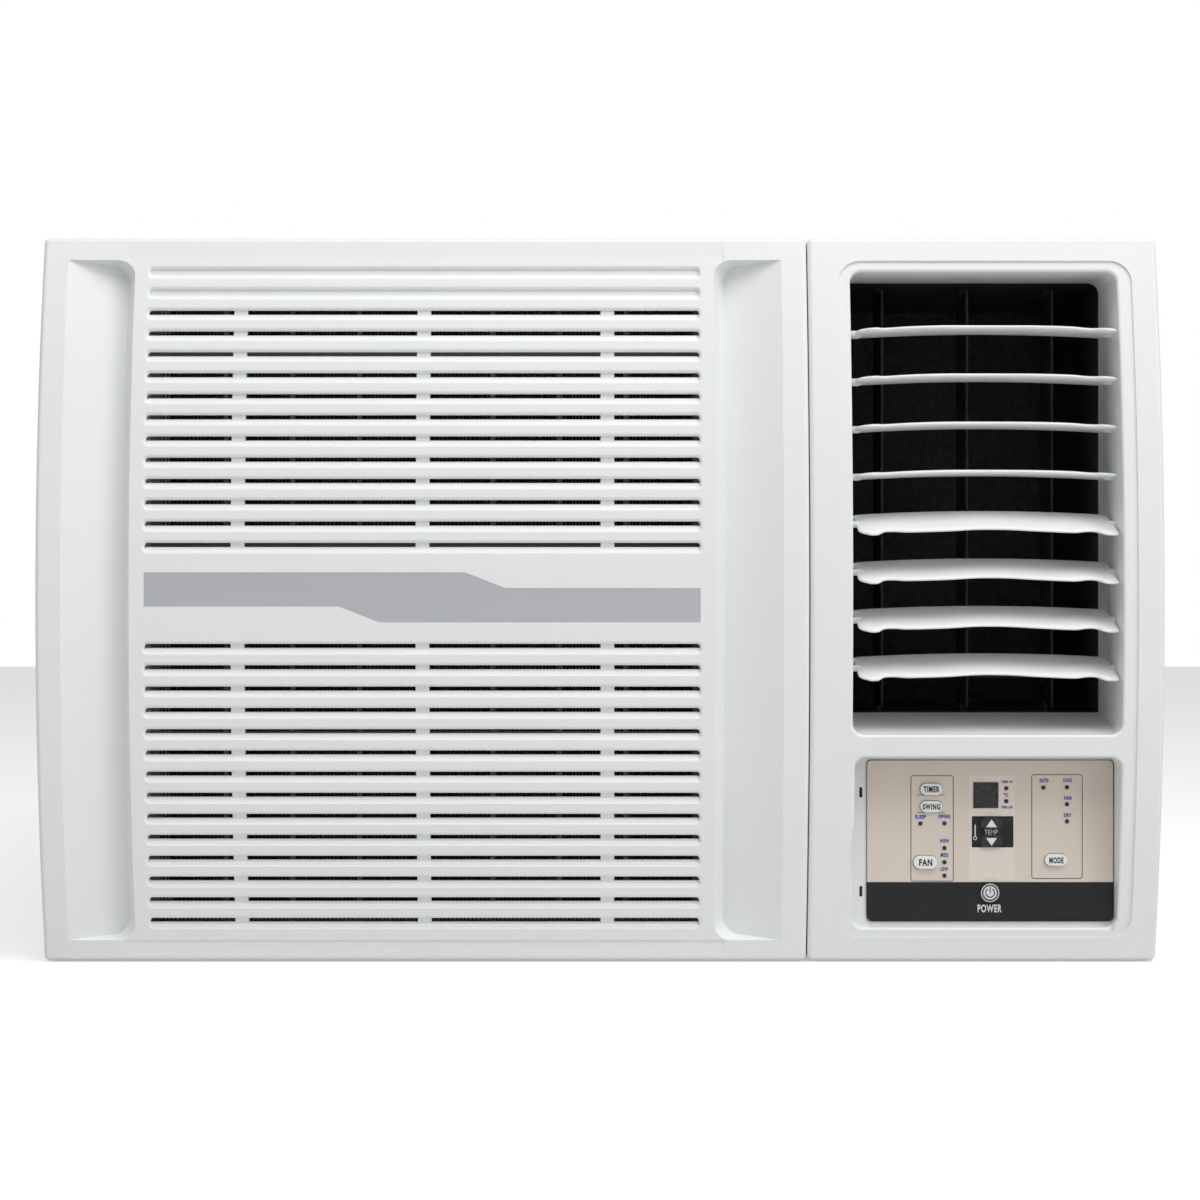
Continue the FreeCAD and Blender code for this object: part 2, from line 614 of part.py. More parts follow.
def hinge_ear(x):
    """Ear that carries a hinge pin of the intake panel, clear of the panel's turning rim."""
    leg = (HINGE_Y - HINGE_EAR_RADIUS, HINGE_Y + HINGE_EAR_RADIUS)
    eye = rod(HINGE_EAR_RADIUS, (x[0], HINGE_Y, HINGE_Z), (x[1], HINGE_Y, HINGE_Z))
    down = box(x, leg, (PLATE_TOP - 12, HINGE_Z))
    foot = box(x, (leg[0], FRAME_BACK), (PLATE_TOP - 20, PLATE_TOP - 8))
    bore = rod(HINGE_PIN + PIN_FREE, (x[0] - 1, HINGE_Y, HINGE_Z), (x[1] + 1, HINGE_Y, HINGE_Z))
    return fused([eye, down, foot]).cut(bore)


def front_frame():
    """Right section with the outlet's tunnel and the control pocket, and the plate behind
    the intake panel, in one moulding."""
    x = (SEAM_X + SEAM / 2, RIGHT)
    z = (UNDER_GAP, HEIGHT)
    skin = SURROUND_SUNK + 0.2
    block = rounded_front(bowed(x, z, FRAME_BACK), EDGE_ROUND, CORNER_ROUND)
    surround_x = (x[0] + SURROUND_MARGIN, POCKET_X[1] + POCKET_X[0] - x[0] - SURROUND_MARGIN)
    surround_z = (POCKET_Z[0] - 6.0, OUTLET_Z[1] + 6.5)
    block = block.cut(sunken(surround_x, surround_z, SURROUND_CORNER, SURROUND_SUNK))
    hollow = bowed(inset(x, WALL), inset(z, WALL), FRAME_BACK + 1, WALL + SURROUND_SUNK)
    tunnel = pad(inset(OUTLET_X, -WALL), (FRONT, TUNNEL_BACK), inset(OUTLET_Z, -WALL),
                 OUTLET_CORNER + WALL)
    pocket = pad((POCKET_X[0] - WALL - NOTCH_DEEP, POCKET_X[1] + WALL),
                 (FRONT, POCKET_FLOOR + FLOOR_THICK), inset(POCKET_Z, -WALL), POCKET_CORNER + WALL)
    walls = tunnel.fuse(pocket).common(bowed(x, z, TUNNEL_BACK, skin))
    bay_x = (LEFT + 1, x[0] + WALL)
    bay = box(bay_x, (PLATE_FRONT, FRAME_BACK), (UNDER_GAP + 2, PLATE_TOP))
    window = pad(EVAPORATOR_X, (PLATE_FRONT - 1, FRAME_BACK + 1), (PAN_FLOOR + PAN_RIM, 398.0), 6.0)
    reach = WALL + 1.0
    ears = [hinge_ear((DOOR_X[0] + reach, DOOR_X[0] + reach + HINGE_EAR)),
            hinge_ear((DOOR_X[1] - reach - HINGE_EAR, DOOR_X[1] - reach))]
    posts = [rod(2.5, (px, POCKET_FLOOR + 1, pz), (px, POCKET_FLOOR + BOARD_BACK, pz))
             for px in inset(LABEL_X, 5.0) for pz in inset(LABEL_Z, 5.0)]
    frame = block.cut(hollow).fuse([walls, bay.cut(window)] + ears + posts)
    opening = pad(OUTLET_X, (FRONT - 2, TUNNEL_BACK + 1), OUTLET_Z, OUTLET_CORNER)
    well = pad(POCKET_X, (FRONT - 2, POCKET_FLOOR), POCKET_Z, POCKET_CORNER)
    frame = frame.cut([opening, well])
    for mouth_x, mouth_z in ((OUTLET_X, OUTLET_Z), (POCKET_X, POCKET_Z)):
        lip = [e for e in frame.Edges if on_front(e, SURROUND_SUNK, mouth_x, mouth_z, 0.5)]
        frame = frame.makeFillet(LIP_ROUND, lip)
    return frame.fuse(tunnel_ramp()).cut(frame_bores())


def tunnel_ramp():
    """Rising floor of the outlet's tunnel."""
    low = OUTLET_Z[0] - 1
    start = face_y(OUTLET_Z[0]) + 8.0
    points = [(start, low), (TUNNEL_BACK, low), (TUNNEL_BACK, OUTLET_Z[0] + RAMP), (start, OUTLET_Z[0])]
    wire = Part.makePolygon([Vector(OUTLET_X[0] - 1, y, z) for y, z in points + points[:1]])
    return Part.Face(wire).extrude(Vector(span(OUTLET_X) + 2, 0, 0))


def frame_bores():
    """Everything bored through the front frame: pivots, buttons, lamps, cover pins, screws."""
    tools = []
    for px, py, pz in blade_axes():
        reach = (OUTLET_X[0] - BLADE_PIN_REACH, OUTLET_X[1] + BLADE_PIN_REACH)
        tools.append(rod(BLADE_PIN + PIN_FREE, (reach[0], py, pz), (reach[1], py, pz)))
    for name, (bx, bz, w, h) in BUTTONS.items():
        tools.append(oval(bx, bz, w + 2 * BUTTON_FREE, h + 2 * BUTTON_FREE,
                          (POCKET_FLOOR - 1, POCKET_FLOOR + FLOOR_THICK + 1)))
    for lx, lz in LAMPS:
        tools.append(rod(LED_RADIUS + 0.2, (lx, POCKET_FLOOR - 1, lz),
                         (lx, POCKET_FLOOR + FLOOR_THICK + 1, lz)))
    tools.append(box(DISPLAY_X, (POCKET_FLOOR - 1, POCKET_FLOOR + FLOOR_THICK + 1), DISPLAY_Z))
    reach = (POCKET_Z[0] - COVER_PIN_REACH, POCKET_Z[1] + COVER_PIN_REACH)
    tools.append(rod(COVER_PIN + PIN_FREE, (COVER_AXIS_X, COVER_AXIS_Y, reach[0]),
                     (COVER_AXIS_X, COVER_AXIS_Y, reach[1])))
    notch = (NOTCH_HALF ** 2 + NOTCH_DEEP ** 2) / (2 * NOTCH_DEEP)
    notch_x = POCKET_X[0] - NOTCH_DEEP + notch
    cutter = rod(notch, (notch_x, FRONT - 1, NOTCH_Z), (notch_x, COVER_AXIS_Y + 4, NOTCH_Z))
    tools.append(cutter.common(box((POCKET_X[0] - 10, POCKET_X[0] + 3), (FRONT - 1, 0), (0, HEIGHT))))
    for sx, sz in SCREWS:
        tools.append(rod(SCREW_RADIUS, (sx, PLATE_FRONT - 1, sz), (sx, FRAME_BACK + 1, sz)))
    tools.append(rod(GLAND_OUTER, (RIGHT - WALL - 1, GLAND_Y, GLAND_Z), (RIGHT + 1, GLAND_Y, GLAND_Z)))
    return tools


# Louvres and vanes

def blade_axes():
    """Pivot axes of the eight blades, top first; each bank stands on one upright line."""
    axes = []
    for bank in range(2):
        tops = [OUTLET_Z[1] - BLADE_FIRST - (bank * BLADES_PER_BANK + i) * BLADE_PITCH
                for i in range(BLADES_PER_BANK)]
        y = face_y(centre((tops[0], tops[-1]))) + BLADE_SET_BACK
        axes += [(OUTLET_X[0], y, z) for z in tops]
    return axes


def louvre_blade(y, z, tilt):
    """Crowned blade with two pivot pins and a crank pin, front edge down by the tilt."""
    x = (OUTLET_X[0] + BLADE_END_GAP, OUTLET_X[1] - 1.2)
    half = BLADE_THICK / 2
    reach = BLADE_CHORD / 2 - half
    radius = (span(x) ** 2 / 4 + BLADE_CROWN ** 2) / (2 * BLADE_CROWN)
    corners = [Vector(x[0], y + a, z + b)
               for a, b in ((-reach, half), (reach, half), (reach, -half), (-reach, -half))]
    nose = Part.Arc(corners[3], Vector(x[0], y - reach - half, z), corners[0]).toShape()
    tail = Part.Arc(corners[1], Vector(x[0], y + reach + half, z), corners[2]).toShape()
    wire = Part.Wire([nose, Part.makeLine(corners[0], corners[1]), tail,
                      Part.makeLine(corners[2], corners[3])])
    turn = 2 * math.degrees(math.asin(span(x) / 2 / radius))
    axis = Vector(centre(x), y, z + BLADE_CROWN - radius)
    section = Part.Face(wire)
    section.rotate(Vector(x[0], y, z), Vector(0, 1, 0), -turn / 2)
    blade = section.revolve(axis, Vector(0, 1, 0), turn)
    blade = blade.common(box(x, (y - BLADE_CHORD, y + BLADE_CHORD), (z - 20, z + 20)))
    walls = (OUTLET_X[0] - BLADE_PIN_REACH + 0.2, OUTLET_X[1] + BLADE_PIN_REACH - 0.2)
    pins = [rod(BLADE_PIN, (walls[0], y, z), (x[0] + 4, y, z)),
            rod(BLADE_PIN, (x[1] - 4, y, z), (walls[1], y, z)),
            rod(CRANK_PIN, (OUTLET_X[0] + 0.6, y + LINK_ARM, z), (x[0] + 4, y + LINK_ARM, z))]
    blade = fused([blade] + pins)
    blade.rotate(Vector(0, y, z), Vector(1, 0, 0), tilt)
    return blade


def louvre_link(axes, tilt):
    """Upright bar whose holes take the crank pins of one bank."""
    x = (OUTLET_X[0] + 1.0, OUTLET_X[0] + 1.0 + LINK_THICK)
    drop = math.radians(tilt)
    places = [(y + LINK_ARM * math.cos(drop), z + LINK_ARM * math.sin(drop)) for _, y, z in axes]
    y = places[0][0]
    bar = box(x, (y - LINK_HALF, y + LINK_HALF), (places[-1][1], places[0][1]))
    eyes = [rod(LINK_HALF, (x[0], y, z), (x[1], y, z)) for _, z in places]
    free = [PIN_FREE] + [LINK_HOLE_FREE] * (len(places) - 1)
    holes = [rod(CRANK_PIN + gap, (x[0] - 1, y, z), (x[1] + 1, y, z))
             for gap, (_, z) in zip(free, places)]
    return fused([bar] + eyes).cut(holes)


def vane_axes():
    pitch = span(OUTLET_X) / VANE_COUNT
    return [(OUTLET_X[0] + pitch * (i + 0.5), TUNNEL_BACK + VANE_BACK) for i in range(VANE_COUNT)]


def swing_vane(x, y):
    """Upright vane on two pins, with a crank pin under the duct's ceiling."""
    z = inset(DUCT_Z, 3.0)
    vane = pad_upright(x, y, z)
    reach = DUCT_WALL - 0.8
    pins = [rod(VANE_PIN, (x, y, DUCT_Z[0] - reach), (x, y, z[0] + 2)),
            rod(VANE_PIN, (x, y, z[1] - 2), (x, y, DUCT_Z[1] + reach)),
            rod(CRANK_PIN, (x, y + LINK_ARM, z[0] + 14), (x, y + LINK_ARM, z[0] + 22))]
    notch = box((x - 4, x + 4), (y + LINK_ARM - 6, y + VANE_CHORD), (z[0] + 14, z[0] + 22))
    return fused([vane.cut(notch)] + pins)


def pad_upright(x, y, z):
    """Thin upright blade with rounded ends of its section."""
    half = VANE_CHORD / 2 - VANE_THICK / 2
    core = box((x - VANE_THICK / 2, x + VANE_THICK / 2), (y - half, y + half), z)
    ends = [rod(VANE_THICK / 2, (x, e, z[0]), (x, e, z[1])) for e in (y - half, y + half)]
    return fused([core] + ends)


def vane_link():
    """Cross bar whose holes take the vanes' crank pins."""
    axes = vane_axes()
    low = DUCT_Z[0] + 3.0 + 17.0
    z = (low, low + 2.0)
    y = axes[0][1] + LINK_ARM
    bar = box((axes[0][0], axes[-1][0]), (y - LINK_HALF, y + LINK_HALF), z)
    eyes = [rod(LINK_HALF, (x, y, z[0]), (x, y, z[1])) for x, _ in axes]
    free = [PIN_FREE] + [LINK_HOLE_FREE] * (len(axes) - 1)
    holes = [rod(CRANK_PIN + gap, (x, y, z[0] - 1), (x, y, z[1] + 1))
             for gap, (x, _) in zip(free, axes)]
    return fused([bar] + eyes).cut(holes)


def swing_motor():
    """Flat geared motor on the duct's top that turns the first vane."""
    x, y = vane_axes()[0]
    low = DUCT_Z[1] + DUCT_WALL
    body = rod(12.0, (x, y, low), (x, y, low + 8.0))
    tabs = box((x - 18, x + 18), (y - 3.5, y + 3.5), (low, low + 1.0))
    return fused([body, tabs])


# Controls

def oval(x, z, width, height, y):
    """A button's outline, rounded at both ends."""
    corner = min(width, height) / 2 - 0.05
    return pad((x - width / 2, x + width / 2), y, (z - height / 2, z + height / 2), corner)


def control_button(x, z, width, height):
    """Cap that stands through the label and the pocket's floor, with a flange behind it."""
    back = POCKET_FLOOR + FLOOR_THICK
    cap = oval(x, z, width, height, (LABEL_FRONT - BUTTON_PROUD, back + 1.6))
    front = [e for e in cap.Edges if all(v.Y < LABEL_FRONT - BUTTON_PROUD + 0.01 for v in e.Vertexes)]
    cap = cap.makeFillet(0.6, front)
    flange = oval(x, z, width + 2 * BUTTON_FLANGE, height + 2 * BUTTON_FLANGE,
                  (back + FREE, back + 1.6))
    return fused([cap, flange])


def control_label():
    """Printed plate on the pocket's floor, pierced for the buttons, lamps and display."""
    y = (LABEL_FRONT, POCKET_FLOOR)
    label = pad(LABEL_X, y, LABEL_Z, POCKET_CORNER - 2)
    through = (y[0] - 1, y[1] + 1)
    tools = [oval(x, z, w + 2 * BUTTON_FREE, h + 2 * BUTTON_FREE, through)
             for x, z, w, h in BUTTONS.values()]
    tools += [rod(LED_RADIUS, (x, through[0], z), (x, through[1], z)) for x, z in LAMPS]
    tools.append(box(DISPLAY_X, through, DISPLAY_Z))
    return label.cut(tools)


def control_board():
    """Circuit board on the pocket's posts, with one push switch behind each button."""
    y = (POCKET_FLOOR + BOARD_BACK, POCKET_FLOOR + BOARD_BACK + BOARD_THICK)
    board = box(inset(LABEL_X, 2.0), y, inset(LABEL_Z, 2.0))
    switches = [box((x - 3, x + 3), (y[0] - 4.0, y[0]), (z - 3, z + 3))
                for x, z, _, _ in BUTTONS.values()]
    return fused([board] + switches)


def indicator_lamps():
    y = (LABEL_FRONT - 0.3, POCKET_FLOOR + BOARD_BACK)
    return Part.makeCompound([rod(LED_RADIUS, (x, y[0], z), (x, y[1], z)) for x, z in LAMPS])


def display_window():
    return box(DISPLAY_X, (LABEL_FRONT - 0.4, POCKET_FLOOR + FLOOR_THICK), DISPLAY_Z)


def display_module():
    y = (POCKET_FLOOR + FLOOR_THICK, POCKET_FLOOR + BOARD_BACK)
    return box(inset(DISPLAY_X, 1.0), y, inset(DISPLAY_Z, 1.0))


def control_cover():
    """Clear flip cover with a barrel and two pins along its right edge."""
    y = (FRONT + COVER_DEPTH, FRONT + COVER_DEPTH + COVER_THICK)
    z = inset(POCKET_Z, COVER_EDGE)
    sheet = pad((POCKET_X[0] + FREE, COVER_AXIS_X + 1), y, z, 1.2)
    barrel_z = inset(POCKET_Z, POCKET_CORNER)
    barrel = rod(COVER_BARREL, (COVER_AXIS_X, COVER_AXIS_Y, barrel_z[0]),
                 (COVER_AXIS_X, COVER_AXIS_Y, barrel_z[1]))
    reach = inset(POCKET_Z, 0.3 - COVER_PIN_REACH)
    pin = rod(COVER_PIN, (COVER_AXIS_X, COVER_AXIS_Y, reach[0]), (COVER_AXIS_X, COVER_AXIS_Y, reach[1]))
    corners = pad((POCKET_X[0] + FREE, COVER_AXIS_X + 40), y, z, POCKET_CORNER)
    return fused([sheet.common(corners), barrel, pin])


# Fan set

def fan_shaft():
    start = (SHAFT_X, SCROLL_Y[0] + 12.0, SHAFT_Z)
    return rod(SHAFT_RADIUS, start, (SHAFT_X, PROPELLER_Y + 22.0, SHAFT_Z))


def blower_wheel():
    """Drum of forward-curved blades between a rear disc and a front ring."""
    y = (SCROLL_Y[0] + DUCT_WALL + 4.0, SCROLL_Y[0] + DUCT_WALL + 4.0 + WHEEL_DEPTH)
    middle = (SHAFT_X, y[1], SHAFT_Z)
    disc = rod(WHEEL_RADIUS, (SHAFT_X, y[1] - 1.5, SHAFT_Z), middle)
    hub = rod(14.0, (SHAFT_X, y[1] - 26.0, SHAFT_Z), middle)
    rim = ring(WHEEL_RADIUS, WHEEL_RADIUS - 20.0, (SHAFT_X, y[0], SHAFT_Z),
               (SHAFT_X, y[0] + 1.5, SHAFT_Z))
    blades = []
    for i in range(WHEEL_BLADES):
        blade = box((SHAFT_X + WHEEL_RADIUS - 19.0, SHAFT_X + WHEEL_RADIUS - 2.0), y,
                    (SHAFT_Z - 0.5, SHAFT_Z + 0.5))
        blade.rotate(Vector(SHAFT_X + WHEEL_RADIUS - 10.0, 0, SHAFT_Z), Vector(0, 1, 0), 35)
        blade.rotate(Vector(SHAFT_X, 0, SHAFT_Z), Vector(0, 1, 0), 360.0 * i / WHEEL_BLADES)
        blades.append(blade)
    bore = rod(SHAFT_RADIUS, (SHAFT_X, y[0] - 1, SHAFT_Z), (SHAFT_X, y[1] + 1, SHAFT_Z))
    return fused([disc, hub, rim] + blades).cut(bore)


def condenser_fan():
    """Propeller with a slinger ring round the blades' tips."""
    y = PROPELLER_Y
    hub = rod(30.0, (SHAFT_X, y - 15.0, SHAFT_Z), (SHAFT_X, y + 15.0, SHAFT_Z))
    sling = ring(PROPELLER_RADIUS, PROPELLER_RADIUS - 3.0, (SHAFT_X, y - 6.0, SHAFT_Z),
                 (SHAFT_X, y + 6.0, SHAFT_Z))
    reach = rod(PROPELLER_RADIUS - 1.5, (SHAFT_X, y - 60.0, SHAFT_Z), (SHAFT_X, y + 60.0, SHAFT_Z))
    blades = []
    for i in range(PROPELLER_BLADES):
        blade = box((SHAFT_X + 22.0, SHAFT_X + PROPELLER_RADIUS), (y - 0.8, y + 0.8),
                    (SHAFT_Z - 42.0, SHAFT_Z + 42.0))
        blade.rotate(Vector(SHAFT_X, y, SHAFT_Z), Vector(1, 0, 0), 14)
        blade = blade.common(reach)
        blade.rotate(Vector(SHAFT_X, y, SHAFT_Z), Vector(0, 1, 0), 360.0 * i / PROPELLER_BLADES)
        blades.append(blade)
    bore = rod(SHAFT_RADIUS, (SHAFT_X, y - 70, SHAFT_Z), (SHAFT_X, y + 70, SHAFT_Z))
    return fused([hub, sling] + blades).cut(bore)


def fan_motor():
    """Round motor with a bearing boss at each end."""
    body = rod(MOTOR_RADIUS, (SHAFT_X, MOTOR_Y[0], SHAFT_Z), (SHAFT_X, MOTOR_Y[1], SHAFT_Z))
    rims = [e for e in body.Edges if abs(e.Length - 2 * math.pi * MOTOR_RADIUS) < 0.1]
    body = body.makeFillet(8.0, rims)
    boss = rod(16.0, (SHAFT_X, MOTOR_Y[0] - 8, SHAFT_Z), (SHAFT_X, MOTOR_Y[1] + 8, SHAFT_Z))
    bore = rod(SHAFT_RADIUS + PIN_FREE, (SHAFT_X, MOTOR_Y[0] - 10, SHAFT_Z),
               (SHAFT_X, MOTOR_Y[1] + 10, SHAFT_Z))
    return fused([body, boss]).cut(bore)


def motor_bracket():
    """Folded stand on the base pan with a cradle for the motor."""
    x = (SHAFT_X - 46.0, SHAFT_X + 46.0)
    y = inset(MOTOR_Y, 18.0)
    z = (PAN_FLOOR, SHAFT_Z - MOTOR_RADIUS + 14.0)
    stand = box(x, y, z)
    hollow = box(inset(x, 2.0), (y[0] - 1, y[1] + 1), (z[0] + 2.0, SHAFT_Z - MOTOR_RADIUS - 4.0))
    seat = rod(MOTOR_RADIUS, (SHAFT_X, y[0] - 1, SHAFT_Z), (SHAFT_X, y[1] + 1, SHAFT_Z))
    feet = box(inset(x, -14.0), y, (z[0], z[0] + 2.0))
    return fused([stand.cut([hollow, seat]), feet])


# Air path

def blower_scroll():
    """Case round the blower wheel, with an inlet in front and a throat to the outlet duct."""
    chamber = WHEEL_RADIUS + 24.0
    end_x = OUTLET_X[0] - DUCT_WALL
    throat = (SHAFT_Z, SHAFT_Z + chamber)
    outer = rod(chamber + DUCT_WALL, (SHAFT_X, SCROLL_Y[0], SHAFT_Z), (SHAFT_X, SCROLL_Y[1], SHAFT_Z))
    outer = outer.fuse(box((SHAFT_X, end_x), SCROLL_Y, inset(throat, -DUCT_WALL)))
    y = inset(SCROLL_Y, DUCT_WALL)
    inside = rod(chamber, (SHAFT_X, y[0], SHAFT_Z), (SHAFT_X, y[1], SHAFT_Z))
    inside = inside.fuse(box((SHAFT_X, end_x + 1), y, throat))
    inlet = rod(WHEEL_RADIUS - 17.0, (SHAFT_X, SCROLL_Y[0] - 1, SHAFT_Z), (SHAFT_X, y[0] + 1, SHAFT_Z))
    hole = rod(SHAFT_RADIUS + 4.0, (SHAFT_X, y[1] - 1, SHAFT_Z), (SHAFT_X, SCROLL_Y[1] + 1, SHAFT_Z))
    return outer.cut([inside, inlet, hole])


def outlet_duct():
    """Duct from the scroll's throat to the front's tunnel, bored for the vanes' pins."""
    y = (TUNNEL_BACK + 0.2, SCROLL_Y[1])
    outer = box(inset(OUTLET_X, -DUCT_WALL), y, inset(DUCT_Z, -DUCT_WALL))
    inside = box(OUTLET_X, (y[0] - 1, y[1] - DUCT_WALL), DUCT_Z)
    throat = box((OUTLET_X[0] - DUCT_WALL - 1, OUTLET_X[0] + 1), inset(SCROLL_Y, DUCT_WALL),
                 (SHAFT_Z, SHAFT_Z + WHEEL_RADIUS + 24.0))
    reach = DUCT_WALL - 0.6
    pins = [rod(VANE_PIN + PIN_FREE, (vx, vy, DUCT_Z[0] - reach), (vx, vy, DUCT_Z[1] + reach))
            for vx, vy in vane_axes()]
    return outer.cut([inside, throat] + pins)


def bulkhead():
    """Steel partition between the indoor and outdoor halves."""
    y = (BULKHEAD_Y, BULKHEAD_Y + SHEET)
    sheet = box((-PAN_HALF + 2, PAN_HALF - 2), y, (PAN_FLOOR, HEIGHT - 18.0))
    through = (y[0] - 1, y[1] + 1)
    holes = [rod(SHAFT_RADIUS + 8.0, (SHAFT_X, through[0], SHAFT_Z), (SHAFT_X, through[1], SHAFT_Z)),
             rod(SUCTION_RADIUS + 3.0, (SUCTION_X, through[0], PIPE_LOW),
                 (SUCTION_X, through[1], PIPE_LOW)),
             rod(6.0, (CAPILLARY_X, through[0], CAPILLARY_Z), (CAPILLARY_X, through[1], CAPILLARY_Z))]
    return sheet.cut(holes)


def condenser_shroud():
    """Sheet with a collar round the propeller."""
    x = (-PAN_HALF + 4, PAN_HALF - 27.0)
    sheet = box(x, (SHROUD_Y, SHROUD_Y + SHEET), (PAN_FLOOR, HEIGHT - 18.0))
    bore = PROPELLER_RADIUS + 6.0
    collar = ring(bore + SHEET, bore, (SHAFT_X, SHROUD_Y - 40.0, SHAFT_Z),
                  (SHAFT_X, SHROUD_Y + SHEET, SHAFT_Z))
    hole = rod(bore, (SHAFT_X, SHROUD_Y - 1, SHAFT_Z), (SHAFT_X, SHROUD_Y + 2, SHAFT_Z))
    return fused([sheet.cut(hole), collar])


# Refrigerant circuit

def fin_block(x, y, z):
    """Upright fins between a top and a bottom strip."""
    block = box(x, y, z)
    count = int((span(x) - 2.0) / FIN_PITCH)
    start = x[0] + (span(x) - count * FIN_PITCH - FIN_THICK) / 2
    gaps = [box((start + i * FIN_PITCH + FIN_THICK, start + (i + 1) * FIN_PITCH),
                (y[0] - 1, y[1] + 1), inset(z, 2.0)) for i in range(count)]
    return block.cut(gaps)


def coil_bends(x, y, z):
    """Return bends that stand out from both ends of a fin block, two tubes deep."""
    low = open_ends(z)[0]
    pairs = coil_pairs(z)
    bends = []
    for row_y in tube_rows(y):
        for i in range(pairs):
            bends.append(return_bend(x[0], row_y, low + (2 * i + 0.5) * COIL_ROW_PITCH, -1))
        for i in range(pairs - 1):
            bends.append(return_bend(x[1], row_y, low + (2 * i + 1.5) * COIL_ROW_PITCH, 1))
    return Part.makeCompound(bends)


def tube_rows(y):
    """The front and the rear row of a coil's tubes."""
    return (y[0] + span(y) * 0.27, y[0] + span(y) * 0.73)


def return_bend(x, y, z, side):
    """Half a turn of tube, standing out from x to one side."""
    radius = COIL_ROW_PITCH / 2
    section = Part.Face(Part.Wire([Part.makeCircle(COIL_TUBE, Vector(x, y, z - radius), Vector(1, 0, 0))]))
    return section.revolve(Vector(x, y, z), Vector(0, side, 0), -180)


def compressor():
    """Hermetic shell on a foot plate, with the accumulator strapped to its side."""
    x, y = COMPRESSOR_AT
    low = PAN_FLOOR + GROMMET_HEIGHT
    shell = rod(COMPRESSOR_RADIUS, (x, y, low), (x, y, low + COMPRESSOR_HEIGHT))
    rims = [e for e in shell.Edges if abs(e.Length - 2 * math.pi * COMPRESSOR_RADIUS) < 0.1]
    shell = shell.makeFillet(22.0, [e for e in rims if e.CenterOfMass.z > low + 10])
    foot = rod(FOOT_RADIUS, (x, y, low), (x, y, low + 4.0))
    ax, ay = ACCUMULATOR_AT
    pot = rod(ACCUMULATOR_RADIUS, (ax, ay, low + 60), (ax, ay, low + 210))
    rims = [e for e in pot.Edges if abs(e.Length - 2 * math.pi * ACCUMULATOR_RADIUS) < 0.1]
    pot = pot.makeFillet(12.0, rims)
    strap = box((ax, x), (y - 10, y + 10), (low + 130, low + 150))
    return fused([shell, foot, pot, strap])


def compressor_grommets():
    x, y = COMPRESSOR_AT
    low = PAN_FLOOR
    feet = []
    for i in range(3):
        turn = math.radians(90 + 120 * i)
        fx = x + (FOOT_RADIUS - 14) * math.cos(turn)
        fy = y + (FOOT_RADIUS - 14) * math.sin(turn)
        feet.append(rod(11.0, (fx, fy, low), (fx, fy, low + GROMMET_HEIGHT)))
    return Part.makeCompound(feet)


def suction_pipe():
    """From the evaporator, low through the bulkhead, to the accumulator's top."""
    ax, ay = ACCUMULATOR_AT
    top = PAN_FLOOR + GROMMET_HEIGHT + 210
    row = tube_rows(EVAPORATOR_Y)[1]
    return tube([(EVAPORATOR_X[1], row, PIPE_LOW), (SUCTION_X, row, PIPE_LOW),
                 (SUCTION_X, ay - 60, PIPE_LOW), (SUCTION_X, ay - 60, top + 40),
                 (ax, ay, top + 40), (ax, ay, top)], SUCTION_RADIUS, 16.0)


def discharge_pipe():
    """From the compressor's top to the condenser's upper end."""
    x, y = COMPRESSOR_AT
    top = PAN_FLOOR + GROMMET_HEIGHT + COMPRESSOR_HEIGHT
    row = tube_rows(CONDENSER_Y)[1]
    side = CONDENSER_X[1] + 14.0
    entry = open_ends(CONDENSER_Z)[1]
    return tube([(x, y, top), (x, y, entry), (side, y, entry), (side, row, entry),
                 (CONDENSER_X[1], row, entry)], COIL_TUBE, 12.0)


def capillary_tube():
    """From the condenser's lower end, along the right side, to the evaporator."""
    row = tube_rows(CONDENSER_Y)[0]
    front = tube_rows(EVAPORATOR_Y)[0]
    return tube([(CONDENSER_X[1], row, CAPILLARY_Z), (CAPILLARY_X, row, CAPILLARY_Z),
                 (CAPILLARY_X, front, CAPILLARY_Z), (EVAPORATOR_X[1] + PIN_FREE, front, PIPE_LOW)],
                CAPILLARY_RADIUS, 10.0)


# Base, electrics and small pieces

def base_pan():
    """Tray with an upturned rim; its front rim is screwed to the front frame."""
    x = (-PAN_HALF, PAN_HALF)
    y = (FRAME_BACK, PAN_REAR)
    z = (PAN_BOTTOM, PAN_BOTTOM + PAN_THICK + PAN_RIM)
    tray = pad(x, y, z, 6.0).cut(box(inset(x, PAN_THICK), inset(y, PAN_THICK), (PAN_FLOOR, z[1] + 1)))
    holes = [rod(SCREW_RADIUS, (sx, y[0] - 1, sz), (sx, y[0] + PAN_THICK + 1, sz)) for sx, sz in SCREWS]
    holes.append(rod(DRAIN_BORE, (DRAIN_X, y[1] - 4, DRAIN_Z), (DRAIN_X, y[1] + 1, DRAIN_Z)))
    relief = box((SEAM_X + SEAM, PAN_HALF + 1), (y[0] - 1, y[0] + PAN_THICK), (PAN_FLOOR, z[1] + 1))
    return tray.cut(holes + [relief])


def drain_spigot():
    y = (PAN_REAR, REAR)
    return ring(DRAIN_RADIUS, DRAIN_BORE, (DRAIN_X, y[0], DRAIN_Z), (DRAIN_X, y[1], DRAIN_Z))


def electrical_box():
    """Open steel box on the bulkhead."""
    x, y, z = ELECTRICAL
    return box(x, y, z).cut(box(inset(x, SHEET), (y[0] + SHEET, y[1] + 1), inset(z, SHEET)))


